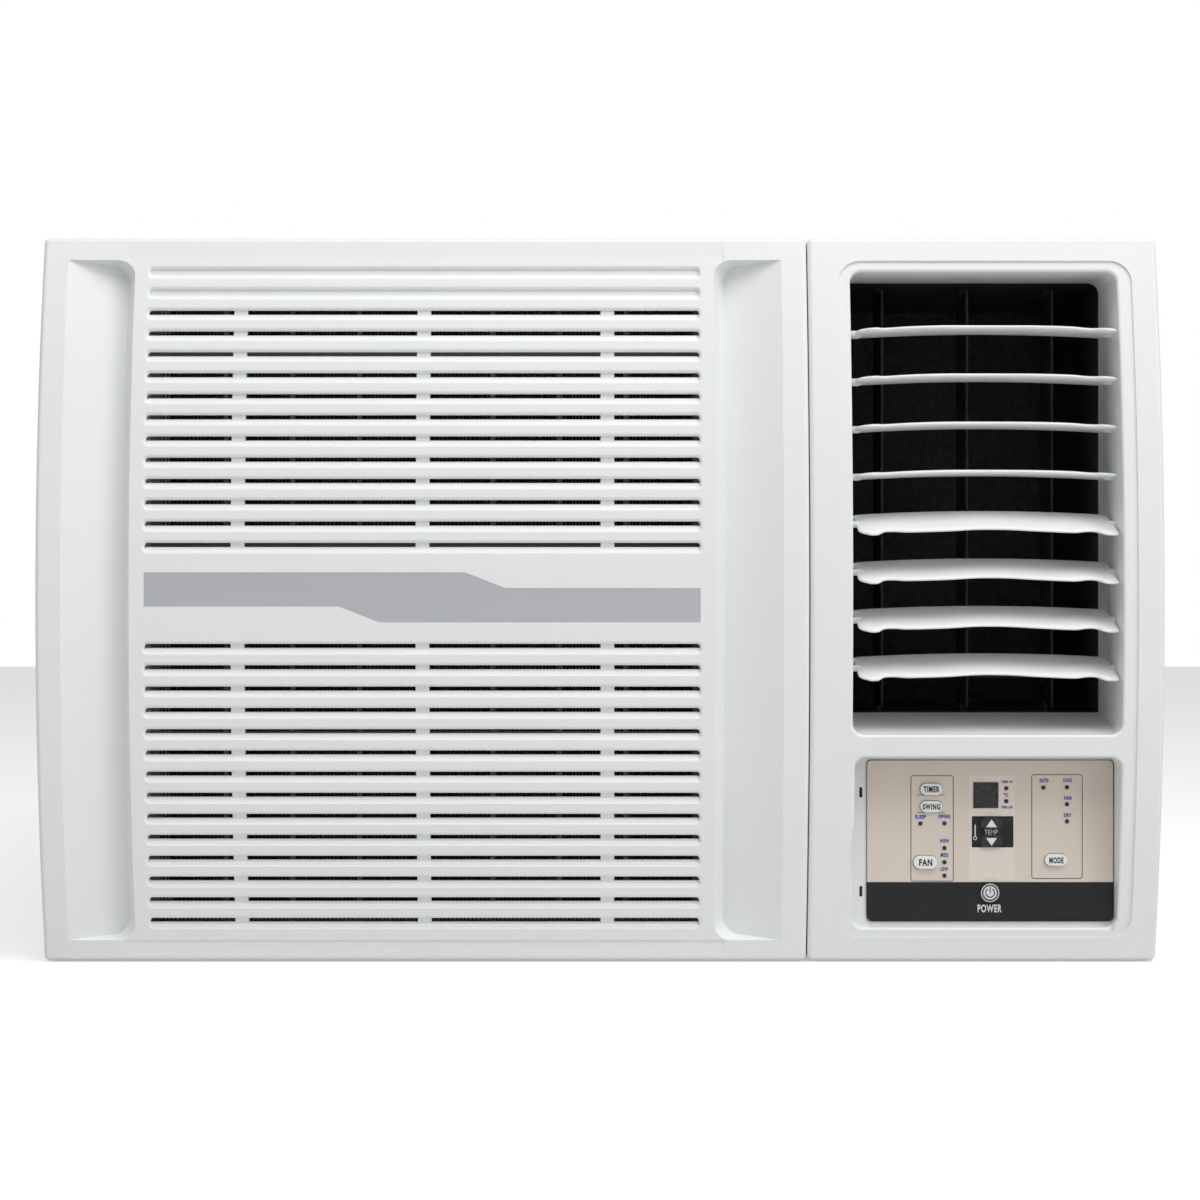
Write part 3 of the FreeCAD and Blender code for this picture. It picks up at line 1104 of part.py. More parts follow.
def run_capacitor():
    x, y, z = ELECTRICAL
    middle = centre(z)
    return rod(20.0, (x[0] + 20, centre(y), middle), (x[1] - 35, centre(y), middle)).fuse(
        box((x[0] + 28, x[1] - 45), (y[0] + SHEET, centre(y)), (middle - 8, middle + 8)))


def cord_grommet():
    """Rubber bush for a mains lead, flush with the frame's right side."""
    outside = ring(GLAND_OUTER, GLAND_BORE, (RIGHT - WALL, GLAND_Y, GLAND_Z), (RIGHT, GLAND_Y, GLAND_Z))
    collar = ring(GLAND_OUTER + 2.5, GLAND_BORE, (RIGHT - WALL - 3, GLAND_Y, GLAND_Z),
                  (RIGHT - WALL, GLAND_Y, GLAND_Z))
    return fused([outside, collar])


def frame_screws():
    screws = []
    for x, z in SCREWS:
        head = rod(SCREW_HEAD, (x, PLATE_FRONT - 2.0, z), (x, PLATE_FRONT, z))
        shank = rod(SCREW_RADIUS, (x, PLATE_FRONT - 1, z), (x, FRAME_BACK + PAN_THICK + 6, z))
        screws.append(head.fuse(shank))
    return Part.makeCompound(screws)


def nodes():
    """Every sub-part by name."""
    made = {
        "cabinet_shell": cabinet_shell(), "rear_guard": rear_guard(),
        "intake_panel": intake_panel(), "badge_strip": badge_strip(),
        "filter_frame": filter_frame(), "filter_mesh": filter_mesh(),
        "front_frame": front_frame(), "base_pan": base_pan(), "bulkhead": bulkhead(),
        "control_label": control_label(), "control_board": control_board(),
        "indicator_lamps": indicator_lamps(), "display_window": display_window(),
        "display_module": display_module(), "control_cover": control_cover(),
        "fan_shaft": fan_shaft(), "blower_wheel": blower_wheel(), "condenser_fan": condenser_fan(),
        "fan_motor": fan_motor(), "motor_bracket": motor_bracket(),
        "blower_scroll": blower_scroll(), "outlet_duct": outlet_duct(),
        "condenser_shroud": condenser_shroud(),
        "evaporator_fins": fin_block(EVAPORATOR_X, EVAPORATOR_Y, EVAPORATOR_Z),
        "evaporator_bends": coil_bends(EVAPORATOR_X, EVAPORATOR_Y, EVAPORATOR_Z),
        "condenser_fins": fin_block(CONDENSER_X, CONDENSER_Y, CONDENSER_Z),
        "condenser_bends": coil_bends(CONDENSER_X, CONDENSER_Y, CONDENSER_Z),
        "compressor": compressor(), "compressor_grommets": compressor_grommets(),
        "suction_pipe": suction_pipe(), "discharge_pipe": discharge_pipe(),
        "capillary_tube": capillary_tube(), "electrical_box": electrical_box(),
        "run_capacitor": run_capacitor(), "drain_spigot": drain_spigot(),
        "cord_grommet": cord_grommet(), "frame_screws": frame_screws(),
        "swing_motor": swing_motor(), "vane_link": vane_link(),
    }
    axes = blade_axes()
    for bank, tilt in (("upper", 0.0), ("lower", LOWER_TILT)):
        first = 0 if bank == "upper" else BLADES_PER_BANK
        own = axes[first:first + BLADES_PER_BANK]
        for i, (_, y, z) in enumerate(own):
            made[f"{bank}_louvre_{i + 1}"] = louvre_blade(y, z, tilt)
        made[f"{bank}_louvre_link"] = louvre_link(own, tilt)
    for i, (x, y) in enumerate(vane_axes()):
        made[f"swing_vane_{i + 1}"] = swing_vane(x, y)
    for name, place in BUTTONS.items():
        made[name] = control_button(*place)
    return made


os.makedirs("parts", exist_ok=True)
for name, shape in nodes().items():
    shape.exportStep(f"parts/{name}.step")
    print(name, "solids", len(shape.Solids), "valid", shape.isValid(), round(shape.Volume))
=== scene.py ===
import json
import math

import bmesh
import bpy
from mathutils import Matrix, Vector


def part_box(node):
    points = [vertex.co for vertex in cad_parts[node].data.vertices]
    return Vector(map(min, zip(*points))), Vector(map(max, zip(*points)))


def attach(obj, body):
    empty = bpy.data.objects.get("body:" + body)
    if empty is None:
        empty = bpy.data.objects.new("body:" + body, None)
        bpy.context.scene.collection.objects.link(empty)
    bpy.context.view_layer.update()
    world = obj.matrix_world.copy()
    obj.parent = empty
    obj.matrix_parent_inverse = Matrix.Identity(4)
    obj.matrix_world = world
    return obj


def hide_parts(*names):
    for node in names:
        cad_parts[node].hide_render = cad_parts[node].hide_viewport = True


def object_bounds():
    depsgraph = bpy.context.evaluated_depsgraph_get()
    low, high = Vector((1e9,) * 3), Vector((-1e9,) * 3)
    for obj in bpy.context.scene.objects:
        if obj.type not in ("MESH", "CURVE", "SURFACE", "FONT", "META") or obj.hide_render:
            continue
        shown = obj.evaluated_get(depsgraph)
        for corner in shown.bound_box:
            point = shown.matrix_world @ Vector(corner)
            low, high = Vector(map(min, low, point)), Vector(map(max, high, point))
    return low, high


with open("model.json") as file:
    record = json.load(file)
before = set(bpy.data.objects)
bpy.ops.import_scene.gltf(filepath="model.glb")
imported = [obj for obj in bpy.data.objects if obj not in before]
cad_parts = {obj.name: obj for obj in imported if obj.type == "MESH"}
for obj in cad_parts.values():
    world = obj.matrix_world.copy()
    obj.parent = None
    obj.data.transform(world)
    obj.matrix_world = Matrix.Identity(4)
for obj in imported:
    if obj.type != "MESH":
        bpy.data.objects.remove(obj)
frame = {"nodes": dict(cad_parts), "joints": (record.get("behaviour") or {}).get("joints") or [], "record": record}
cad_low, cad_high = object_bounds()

# Sizes that the pieces share, in metres
PRINT_LIFT = 0.00006  # how far printed ink stands off its surface
EVAPORATOR_FIN_PITCH = 0.0021
CONDENSER_FIN_PITCH = 0.0024
FIN_THICK = 0.00022
FIN_RIPPLE = 0.00035
FIN_WAVES = 480.0  # radians a metre
WEAVE_PITCH = 0.0024
WEAVE_WIRE = 0.00035
BLADE_FRONT = 0.0125  # from a blade's axis to the lowest notch of its front edge
BLADE_BACK = 0.0175
BLADE_THICK = 0.0026
BLADE_CROWN = 0.0024
BLADE_WAVE = 0.0095
# A blade's front edge: share of its length, share of the wave
BLADE_EDGE = ((0.0, 0.15), (0.03, 0.75), (0.062, 1.0), (0.105, 0.45), (0.19, 0.72), (0.30, 0.75),
              (0.5, 0.46), (0.70, 0.72), (0.82, 0.80), (0.905, 0.40), (0.96, 0.95), (1.0, 0.80))
BLADE_LEFT_ROOM = 0.0066  # a blade's left pin and crank side, outside the blade itself
BLADE_RIGHT_ROOM = 0.0032
BLADE_CRANK = 0.012
BLADE_PIN = 0.002
BLADE_PIN_LENGTH = 0.0066  # half of it outside the blade
BLADE_END_POWER = 60.0  # how suddenly a blade thins towards its ends
BLADES_PER_BANK = 4
LOWER_TILT = 19.0
LABEL_BAND = 0.0235  # height of the black band along the label's foot
LAMP_WORD_WEIGHT = 0.045
KEY_WORD_WEIGHT = 0.04
CASE_SCREW_RADIUS = 0.0042
CASE_SCREW_HEIGHT = 0.0016
CASE_SCREW_STAND = 0.4  # share of a screw head's height that stands off the sheet
FRONT_SCREW_INSET = 0.022
REAR_SCREW_INSET = 0.012
SIDE_SCREWS = (3, 0.055, 0.157)  # count, first height, step
TOP_SCREWS = (4, 0.08, 0.164)  # count, first one's distance from the left side, step
CAMERA_DISTANCE = 1.40  # from the middle of the bowed front
CAMERA_LENS = 72.0
CAMERA_SENSOR = 36.0
FLOOR_REACH = 6.0
FLOOR_GLOW = 0.45  # brightness that the floor shows to the camera alone

# Words beside the lamps and on the keys: a name, the word, its middle and its size, in
# millimetres from the lower left corner of the control label
LAMP_WORDS = (
    ("sleep_lamp_name", "SLEEP", 32.2, 62.3, 6.6, 2.3),
    ("swing_lamp_name", "SWING", 46.4, 62.6, 7.0, 2.3),
    ("high_lamp_name", "HIGH", 46.4, 48.1, 5.0, 2.3),
    ("medium_lamp_name", "MED", 46.4, 39.6, 4.6, 2.3),
    ("low_lamp_name", "LOW", 46.3, 31.2, 4.5, 2.3),
    ("timer_on_name", "TIMER ON", 83.6, 83.1, 6.6, 1.6),
    ("degree_name", "°C", 82.9, 75.4, 3.0, 2.3),
    ("timer_off_name", "TIMER OFF", 83.5, 68.0, 6.9, 1.6),
    ("auto_lamp_name", "AUTO", 105.6, 83.9, 5.5, 2.3),
    ("cool_lamp_name", "COOL", 119.7, 84.1, 5.5, 2.3),
    ("fan_lamp_name", "FAN", 119.8, 73.5, 4.3, 2.3),
    ("dry_lamp_name", "DRY", 119.7, 63.3, 4.5, 2.3),
)
KEY_WORDS = (
    ("timer_button", "TIMER", 38.5, 78.8, 9.6, 3.7),
    ("swing_button", "SWING", 38.5, 68.4, 10.4, 3.5),
    ("fan_button", "FAN", 35.0, 35.3, 7.8, 4.1),
    ("mode_button", "MODE", 112.7, 36.6, 8.4, 3.7),
)

# Soft lights: name, place, width and height in metres, watts
STUDIO_LIGHTS = (
    ("top_light", (0.4, -1.4, 2.5), (2.4, 1.6), 50.0),
    ("left_light", (-2.4, -2.4, 1.0), (1.6, 1.8), 3.0),
    ("right_light", (2.4, -2.2, 1.3), (1.6, 1.8), 18.0),
)
AIR_STRENGTH = 0.35


# Numbers and nodes

class Number:
    """What a node's socket gives; arithmetic on it adds Math nodes to the same tree."""

    def __init__(self, maker, socket):
        self.maker = maker
        self.socket = socket

    def __add__(self, other):
        return self.maker.math_of("ADD", self, other)

    def __radd__(self, other):
        return self.maker.math_of("ADD", other, self)

    def __sub__(self, other):
        return self.maker.math_of("SUBTRACT", self, other)

    def __rsub__(self, other):
        return self.maker.math_of("SUBTRACT", other, self)

    def __mul__(self, other):
        return self.maker.math_of("MULTIPLY", self, other)

    def __truediv__(self, other):
        return self.maker.math_of("DIVIDE", self, other)

    def __gt__(self, other):
        return self.maker.math_of("GREATER_THAN", self, other)

    def __lt__(self, other):
        return self.maker.math_of("LESS_THAN", self, other)

    def ramp(self, low, high):
        """0 below low, 1 above high and smooth between them."""
        settings = {"interpolation_type": "SMOOTHSTEP"}
        return self.maker.add("ShaderNodeMapRange", settings, {0: self, 1: low, 2: high})


class NodeMaker:
    """Adds nodes to the tree that a material or a piece is made by."""

    def __init__(self, nodes):
        self.nodes = nodes

    def add(self, kind, settings, inputs, output=0):
        """Adds a node: settings first, then the values or links of its sockets."""
        node = self.nodes.nodes.new(kind)
        for key, value in settings.items():
            setattr(node, key, value)
        for key, value in inputs.items():
            for one in value if isinstance(value, list) else [value]:
                if isinstance(one, Number):
                    self.nodes.links.new(one.socket, node.inputs[key])
                else:
                    node.inputs[key].default_value = one
        return Number(self, node.outputs[output])

    def math_of(self, operation, *values):
        return self.add("ShaderNodeMath", {"operation": operation}, dict(enumerate(values)))

    def end_in(self, kind, shape):
        self.nodes.links.new(shape.socket, self.nodes.nodes.new(kind).inputs[0])


# Shader building

class Finish(NodeMaker):
    """A material made of nodes."""

    def __init__(self, name):
        self.material = bpy.data.materials.new(name)
        self.material.use_nodes = True
        self.material.node_tree.nodes.clear()
        super().__init__(self.material.node_tree)
        self.place = self.add("ShaderNodeTexCoord", {}, {}, "Object")

    def stretched(self, scale):
        """Object coordinates scaled by x, y and z."""
        return self.add("ShaderNodeMapping", {}, {"Vector": self.place, "Scale": scale})

    def noise(self, scale, detail=2.0, rough=0.5, place=None, distortion=0.0):
        inputs = {"Vector": place or self.place, "Scale": scale, "Detail": detail,
                  "Roughness": rough, "Distortion": distortion}
        return self.add("ShaderNodeTexNoise", {}, inputs)

    def cells(self, scale, place=None, feature="F1", output="Distance"):
        inputs = {"Vector": place or self.place, "Scale": scale}
        return self.add("ShaderNodeTexVoronoi", {"feature": feature}, inputs, output)

    def axis(self, name):
        """One coordinate of the piece, in metres."""
        return self.add("ShaderNodeSeparateXYZ", {}, {0: self.place}, name)

    def mix(self, amount, first, second):
        """A colour between two colours."""
        settings = {"data_type": "RGBA"}
        inputs = {"Factor": amount, 6: first, 7: second}
        return self.add("ShaderNodeMix", settings, inputs, 2)

    def bump(self, height, strength, distance):
        inputs = {"Height": height, "Strength": strength, "Distance": distance}
        return self.add("ShaderNodeBump", {}, inputs)

    def surface(self, colour, roughness, normal=None, **constants):
        """Ends the material in one Principled shader."""
        inputs = {"Base Color": colour, "Roughness": roughness}
        if normal is not None:
            inputs["Normal"] = normal
        inputs.update({key.replace("_", " "): value for key, value in constants.items()})
        self.end_in("ShaderNodeOutputMaterial",
                    self.add("ShaderNodeBsdfPrincipled", {}, inputs))
        return self.material


# Materials

def white_plastic():
    """Moulded white plastic: fine spark texture, faint flow marks and hairline scuffs."""
    f = Finish("white_moulded_plastic")
    grain = f.noise(2600.0, 3.0, 0.6)
    flow = f.noise(5.0, 3.0, 0.5, f.stretched((1.0, 1.0, 2.6)))
    haze = f.noise(38.0, 4.0, 0.6)
    scuff = f.noise(900.0, 2.0, 0.5, f.stretched((0.06, 1.0, 1.0)), 0.4)
    marks = scuff.ramp(0.68, 0.8) * haze.ramp(0.5, 0.75)
    colour = f.mix(flow, (0.80, 0.815, 0.82, 1.0), (0.845, 0.855, 0.86, 1.0))
    colour = f.mix(marks * 0.25, colour, (0.72, 0.73, 0.73, 1.0))
    roughness = 0.36 + haze * 0.10 + grain * 0.05 - marks * 0.06
    normal = f.bump(grain + marks * -0.6, 0.14, 0.00012)
    return f.surface(colour, roughness, normal, Specular_IOR_Level=0.42)


def badge_silver():
    """Silver foil with a fine brushed grain along its length."""
    f = Finish("brushed_silver_foil")
    lines = f.noise(420.0, 4.0, 0.7, f.stretched((0.03, 1.0, 4.0)))
    cloud = f.noise(22.0, 3.0, 0.5)
    colour = f.mix(lines, (0.54, 0.555, 0.575, 1.0), (0.61, 0.625, 0.645, 1.0))
    colour = f.mix(cloud * 0.3, colour, (0.64, 0.65, 0.66, 1.0))
    roughness = 0.36 + lines * 0.18
    return f.surface(colour, roughness, f.bump(lines, 0.12, 0.0001), Metallic=0.55)


def cabinet_paint():
    """Powder coat on steel: orange peel, small dust nibs and rubbed patches."""
    f = Finish("cabinet_powder_coat")
    peel = f.noise(620.0, 2.0, 0.45)
    nibs = f.cells(240.0).ramp(0.10, 0.0) * f.noise(90.0, 1.0).ramp(0.62, 0.7)
    rub = f.noise(7.0, 5.0, 0.6)
    soil = f.noise(60.0, 5.0, 0.65).ramp(0.55, 0.8) * rub.ramp(0.45, 0.7)
    colour = f.mix(rub, (0.70, 0.705, 0.69, 1.0), (0.76, 0.765, 0.75, 1.0))
    colour = f.mix(soil * 0.35, colour, (0.56, 0.55, 0.52, 1.0))
    roughness = 0.40 + peel * 0.12 + soil * 0.2
    return f.surface(colour, roughness, f.bump(peel + nibs * 2.0, 0.2, 0.0003))


def galvanised():
    """Zinc-coated sheet with spangle."""
    f = Finish("galvanised_sheet")
    spangle = f.cells(85.0, output="Color")
    shade = f.add("ShaderNodeSeparateColor", {}, {0: spangle}, "Red")
    stain = f.noise(14.0, 5.0, 0.6)
    colour = f.mix(shade, (0.42, 0.44, 0.45, 1.0), (0.60, 0.62, 0.63, 1.0))
    colour = f.mix(stain.ramp(0.5, 0.75) * 0.4, colour, (0.33, 0.33, 0.32, 1.0))
    roughness = 0.30 + shade * 0.18 + stain * 0.12
    return f.surface(colour, roughness, f.bump(shade, 0.08, 0.0002), Metallic=0.85)


def black_paint():
    """Black stoved paint with dust lying on it."""
    f = Finish("black_stoved_paint")
    peel = f.noise(700.0, 2.0)
    dust = f.noise(45.0, 5.0, 0.7)
    colour = f.mix(dust.ramp(0.45, 0.85), (0.012, 0.012, 0.013, 1.0), (0.06, 0.058, 0.055, 1.0))
    roughness = 0.30 + dust * 0.3
    return f.surface(colour, roughness, f.bump(peel, 0.2, 0.0002))


def black_plastic():
    """Black moulded plastic, finely textured, with faint grey chalking."""
    f = Finish("black_moulded_plastic")
    grain = f.noise(1800.0, 3.0)
    chalk = f.noise(30.0, 4.0, 0.6)
    colour = f.mix(chalk.ramp(0.4, 0.9), (0.010, 0.010, 0.011, 1.0), (0.032, 0.032, 0.033, 1.0))
    roughness = 0.42 + chalk * 0.15 + grain * 0.08
    return f.surface(colour, roughness, f.bump(grain, 0.2, 0.00015))


def duct_foam():
    """Dark expanded foam: pressed beads with thin seams between them."""
    f = Finish("dark_expanded_foam")
    bead = f.cells(260.0)
    tone = f.noise(20.0, 4.0, 0.6)
    colour = f.mix(bead.ramp(0.2, 0.7), (0.012, 0.012, 0.013, 1.0), (0.026, 0.026, 0.028, 1.0))
    colour = f.mix(tone * 0.3, colour, (0.018, 0.018, 0.018, 1.0))
    return f.surface(colour, 0.62 + tone * 0.2, f.bump(bead, 0.5, 0.0006))


def fin_aluminium():
    """Rolled fin stock, a little dull, with fine lines along the roll."""
    f = Finish("rolled_fin_aluminium")
    lines = f.noise(500.0, 3.0, 0.6, f.stretched((1.0, 1.0, 0.05)))
    dull = f.noise(18.0, 4.0, 0.6)
    colour = f.mix(dull, (0.60, 0.61, 0.62, 1.0), (0.74, 0.75, 0.76, 1.0))
    roughness = 0.28 + lines * 0.15 + dull * 0.12
    return f.surface(colour, roughness, f.bump(lines, 0.15, 0.00008), Metallic=0.9)


def copper():
    """Drawn copper tube going brown in patches."""
    f = Finish("drawn_copper")
    lines = f.noise(700.0, 3.0, 0.6)
    brown = f.noise(35.0, 5.0, 0.65)
    colour = f.mix(brown.ramp(0.4, 0.75), (0.72, 0.32, 0.17, 1.0), (0.30, 0.13, 0.07, 1.0))
    roughness = 0.22 + brown * 0.25 + lines * 0.06
    return f.surface(colour, roughness, f.bump(lines, 0.1, 0.0001), Metallic=0.95)


def ground_steel():
    """Ground steel bar with turning lines."""
    f = Finish("ground_steel")
    lines = f.noise(900.0, 3.0, 0.6, f.stretched((1.0, 4.0, 1.0)))
    stain = f.noise(25.0, 4.0, 0.6)
    colour = f.mix(stain, (0.42, 0.42, 0.43, 1.0), (0.58, 0.58, 0.59, 1.0))
    return f.surface(colour, 0.24 + lines * 0.16, f.bump(lines, 0.15, 0.0001), Metallic=1.0)


def zinc_plate():
    """Zinc-plated screws, slightly iridescent and cloudy."""
    f = Finish("zinc_plate")
    cloud = f.noise(300.0, 4.0, 0.6)
    colour = f.mix(cloud, (0.55, 0.56, 0.58, 1.0), (0.72, 0.71, 0.66, 1.0))
    return f.surface(colour, 0.22 + cloud * 0.18, f.bump(cloud, 0.1, 0.0001), Metallic=1.0)


def rubber():
    """Soft black rubber with a bloom."""
    f = Finish("soft_black_rubber")
    bloom = f.noise(55.0, 5.0, 0.7)
    pores = f.noise(1500.0, 2.0)
    colour = f.mix(bloom.ramp(0.4, 0.9), (0.012, 0.012, 0.012, 1.0), (0.05, 0.05, 0.048, 1.0))
    return f.surface(colour, 0.62 + bloom * 0.2, f.bump(pores, 0.3, 0.0002))


def filter_plastic():
    """Pale grey moulded lattice, dusty."""
    f = Finish("pale_filter_plastic")
    dust = f.noise(110.0, 5.0, 0.7)
    grain = f.noise(1700.0, 2.0)
    colour = f.mix(dust.ramp(0.45, 0.85), (0.34, 0.355, 0.36, 1.0), (0.25, 0.25, 0.245, 1.0))
    return f.surface(colour, 0.5 + dust * 0.2, f.bump(grain, 0.2, 0.0001))


def filter_weave():
    """Dark monofilament with dust caught in it."""
    f = Finish("dark_filter_thread")
    dust = f.noise(160.0, 5.0, 0.7)
    fibre = f.noise(2400.0, 2.0)
    colour = f.mix(dust.ramp(0.5, 0.9), (0.018, 0.020, 0.021, 1.0), (0.09, 0.088, 0.083, 1.0))
    return f.surface(colour, 0.6 + dust * 0.2, f.bump(fibre, 0.2, 0.00008))


def label_film(band_top):
    """Beige printed film over a black band, with a fine satin emboss."""
    f = Finish("printed_label_film")
    emboss = f.noise(3200.0, 2.0, 0.6)
    tone = f.noise(24.0, 3.0, 0.5)
    height = f.axis("Z")
    beige = f.mix(tone, (0.70, 0.615, 0.53, 1.0), (0.75, 0.66, 0.58, 1.0))
    black = f.mix(tone, (0.010, 0.010, 0.011, 1.0), (0.020, 0.020, 0.021, 1.0))
    colour = f.mix(height > band_top, black, beige)
    roughness = 0.34 + emboss * 0.08 + tone * 0.06
    return f.surface(colour, roughness, f.bump(emboss, 0.12, 0.00008), Specular_IOR_Level=0.2)


def panel_print(name, first, second):
    """Screen-printed ink: nearly flat, with a faint mesh grain and thin spots."""
    f = Finish(name)
    screen = f.cells(2200.0)
    thin = f.noise(260.0, 4.0, 0.6)
    colour = f.mix(thin.ramp(0.35, 0.8), first, second)
    return f.surface(colour, 0.38 + thin * 0.14, f.bump(screen, 0.1, 0.00004),
                     Specular_IOR_Level=0.2)


def button_plastic(name, first, second):
    """Smooth key plastic polished by fingers in the middle."""
    f = Finish(name)
    rub = f.noise(240.0, 4.0, 0.6)
    grain = f.noise(2600.0, 2.0)
    colour = f.mix(rub, first, second)
    return f.surface(colour, 0.26 + rub * 0.14, f.bump(grain, 0.1, 0.00006))


def display_glass():
    """Tinted window of the display, with faint wipe marks."""
    f = Finish("tinted_display_window")
    wipe = f.noise(300.0, 3.0, 0.5, f.stretched((0.2, 1.0, 1.0)))
    colour = f.mix(wipe, (0.008, 0.009, 0.009, 1.0), (0.018, 0.019, 0.019, 1.0))
    return f.surface(colour, 0.12 + wipe * 0.1, f.bump(wipe, 0.05, 0.00004))


def lamp_lens():
    """Unlit smoked lamp tops."""
    f = Finish("smoked_lamp")
    swirl = f.noise(900.0, 3.0, 0.6)
    colour = f.mix(swirl, (0.010, 0.016, 0.010, 1.0), (0.025, 0.035, 0.022, 1.0))
    return f.surface(colour, 0.15 + swirl * 0.12, f.bump(swirl, 0.1, 0.00005))


def board_lacquer():
    """Green solder lacquer over faint tracks."""
    f = Finish("green_board_lacquer")
    tracks = f.cells(420.0, feature="DISTANCE_TO_EDGE")
    colour = f.mix(tracks.ramp(0.04, 0.08), (0.03, 0.17, 0.07, 1.0), (0.01, 0.09, 0.03, 1.0))
    return f.surface(colour, 0.25 + tracks * 0.2, f.bump(tracks, 0.2, 0.0001))


def clear_plastic():
    """Clear styrene cover: see-through, with faint haze and hairlines."""
    f = Finish("clear_cover_plastic")
    haze = f.noise(70.0, 4.0, 0.6)
    hair = f.noise(1200.0, 2.0, 0.5, f.stretched((0.05, 1.0, 0.8)))
    marks = hair.ramp(0.7, 0.8) * haze.ramp(0.5, 0.7)
    alpha = 0.012 + marks * 0.05 + haze * 0.01
    colour = f.mix(haze, (0.20, 0.21, 0.21, 1.0), (0.26, 0.265, 0.27, 1.0))
    return f.surface(colour, 0.07 + marks * 0.2, f.bump(hair, 0.04, 0.00004), Alpha=alpha)


def pale_floor():
    """Matt studio sweep."""
    f = Finish("pale_studio_floor")
    tone = f.noise(1.3, 3.0, 0.5)
    grain = f.noise(300.0, 2.0)
    colour = f.mix(tone, (0.70, 0.705, 0.71, 1.0), (0.74, 0.74, 0.74, 1.0))
    seen = f.add("ShaderNodeLightPath", {}, {})
    glow = f.mix(seen, (0.0, 0.0, 0.0, 1.0), (1.0, 1.0, 1.0, 1.0))
    return f.surface(colour, 0.75 + tone * 0.1, f.bump(grain, 0.05, 0.0002),
                     Emission_Color=glow, Emission_Strength=FLOOR_GLOW)


# Geometry Nodes building

SOCKET_KINDS = {float: "NodeSocketFloat", int: "NodeSocketInt", Vector: "NodeSocketVector",
                bpy.types.Material: "NodeSocketMaterial"}


class Tree(NodeMaker):
    """A geometry tree with named inputs, which ends realized and with its material set."""

    def __init__(self, name, **inputs):
        super().__init__(bpy.data.node_groups.new(name, "GeometryNodeTree"))
        face = self.nodes.interface
        face.new_socket("Geometry", in_out="OUTPUT", socket_type="NodeSocketGeometry")
        self.keys = {}
        inputs["material"] = bpy.types.Material
        for key, kind in inputs.items():
            item = face.new_socket(key, in_out="INPUT", socket_type=SOCKET_KINDS[kind])
            self.keys[key] = item.identifier
        self.source = self.nodes.nodes.new("NodeGroupInput")

    def __getitem__(self, key):
        return Number(self, self.source.outputs[key])

    def vector(self, x=0.0, y=0.0, z=0.0):
        return self.add("ShaderNodeCombineXYZ", {}, {0: x, 1: y, 2: z})

    def pin_along_x(self, radius, length, x, y):
        inputs = {"Vertices": 20, "Radius": radius, "Depth": length}
        rod = self.add("GeometryNodeMeshCylinder", {}, inputs)
        place = {"Geometry": rod, "Rotation": (0.0, math.pi / 2, 0.0),
                 "Translation": self.vector(x, y, 0.0)}
        return self.add("GeometryNodeTransform", {}, place)

    def position(self, axis):
        place = self.add("GeometryNodeInputPosition", {}, {})
        return self.add("ShaderNodeSeparateXYZ", {}, {0: place}, axis)

    def row(self, shape, count, start, step):
        """Copies of a shape from start, each a step on."""
        settings = {"mode": "OFFSET"}
        inputs = {"Count": count, "Start Location": start, "Offset": step}
        points = self.add("GeometryNodeMeshLine", settings, inputs)
        return self.add("GeometryNodeInstanceOnPoints", {}, {"Points": points, "Instance": shape})

    def joined(self, *shapes):
        return self.add("GeometryNodeJoinGeometry", {}, {0: list(shapes)})

    def end(self, shape):
        whole = self.add("GeometryNodeRealizeInstances", {}, {0: shape})
        inputs = {"Geometry": whole, "Material": self["material"]}
        self.end_in("NodeGroupOutput", self.add("GeometryNodeSetMaterial", {}, inputs))
        return self


def in_scene(name, data):
    """A new object in the scene."""
    holder = bpy.data.objects.new(name, data)
    bpy.context.scene.collection.objects.link(holder)
    return holder


def plain_mesh(holder):
    """What an object looks like after its modifiers or its curve, as a mesh."""
    graph = bpy.context.evaluated_depsgraph_get()
    return bpy.data.meshes.new_from_object(holder.evaluated_get(graph), depsgraph=graph)


def from_tree(name, tree, **values):
    """A plain mesh object made by a tree with these inputs."""
    seed = in_scene(name + "_seed", bpy.data.meshes.new(name + "_seed"))
    build = seed.modifiers.new("Build", "NODES")
    build.node_group = tree.nodes
    for key, value in values.items():
        build[tree.keys[key]] = value
    mesh = plain_mesh(seed)
    seed.modifiers.remove(build)
    bpy.data.objects.remove(seed)
    mesh.name = name
    return in_scene(name, mesh)


# Mesh building

def new_piece(name, mesh, material):
    mesh.materials.clear()
    mesh.materials.append(material)
    return in_scene(name, mesh)


def settle(piece, body, slot, *nodes):
    """Puts a piece on its body and hides the nodes that it stands for; the slot it is given is not used."""
    if nodes:
        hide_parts(*nodes)
    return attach(piece, body)


def smoothed(mesh, angle):
    """Shades a mesh smooth except along edges sharper than an angle in degrees."""
    for face in mesh.polygons:
        face.use_smooth = True
    mesh.set_sharp_from_angle(angle=math.radians(angle))


def ribbon(name, points, width, lift, material):
    """A printed line along (x, z) points on a plane that faces the front, at depth lift."""
    shape = bmesh.new()
    for (x0, z0), (x1, z1) in zip(points, points[1:]):
        along = Vector((x1 - x0, 0.0, z1 - z0)).normalized() * (width / 2)
        across = Vector((-along.z, 0.0, along.x))
        start = Vector((x0, lift, z0)) - along
        end = Vector((x1, lift, z1)) + along
        corners = (start - across, end - across, end + across, start + across)
        shape.faces.new([shape.verts.new(c) for c in corners])
    return flat_print(name, shape, material)


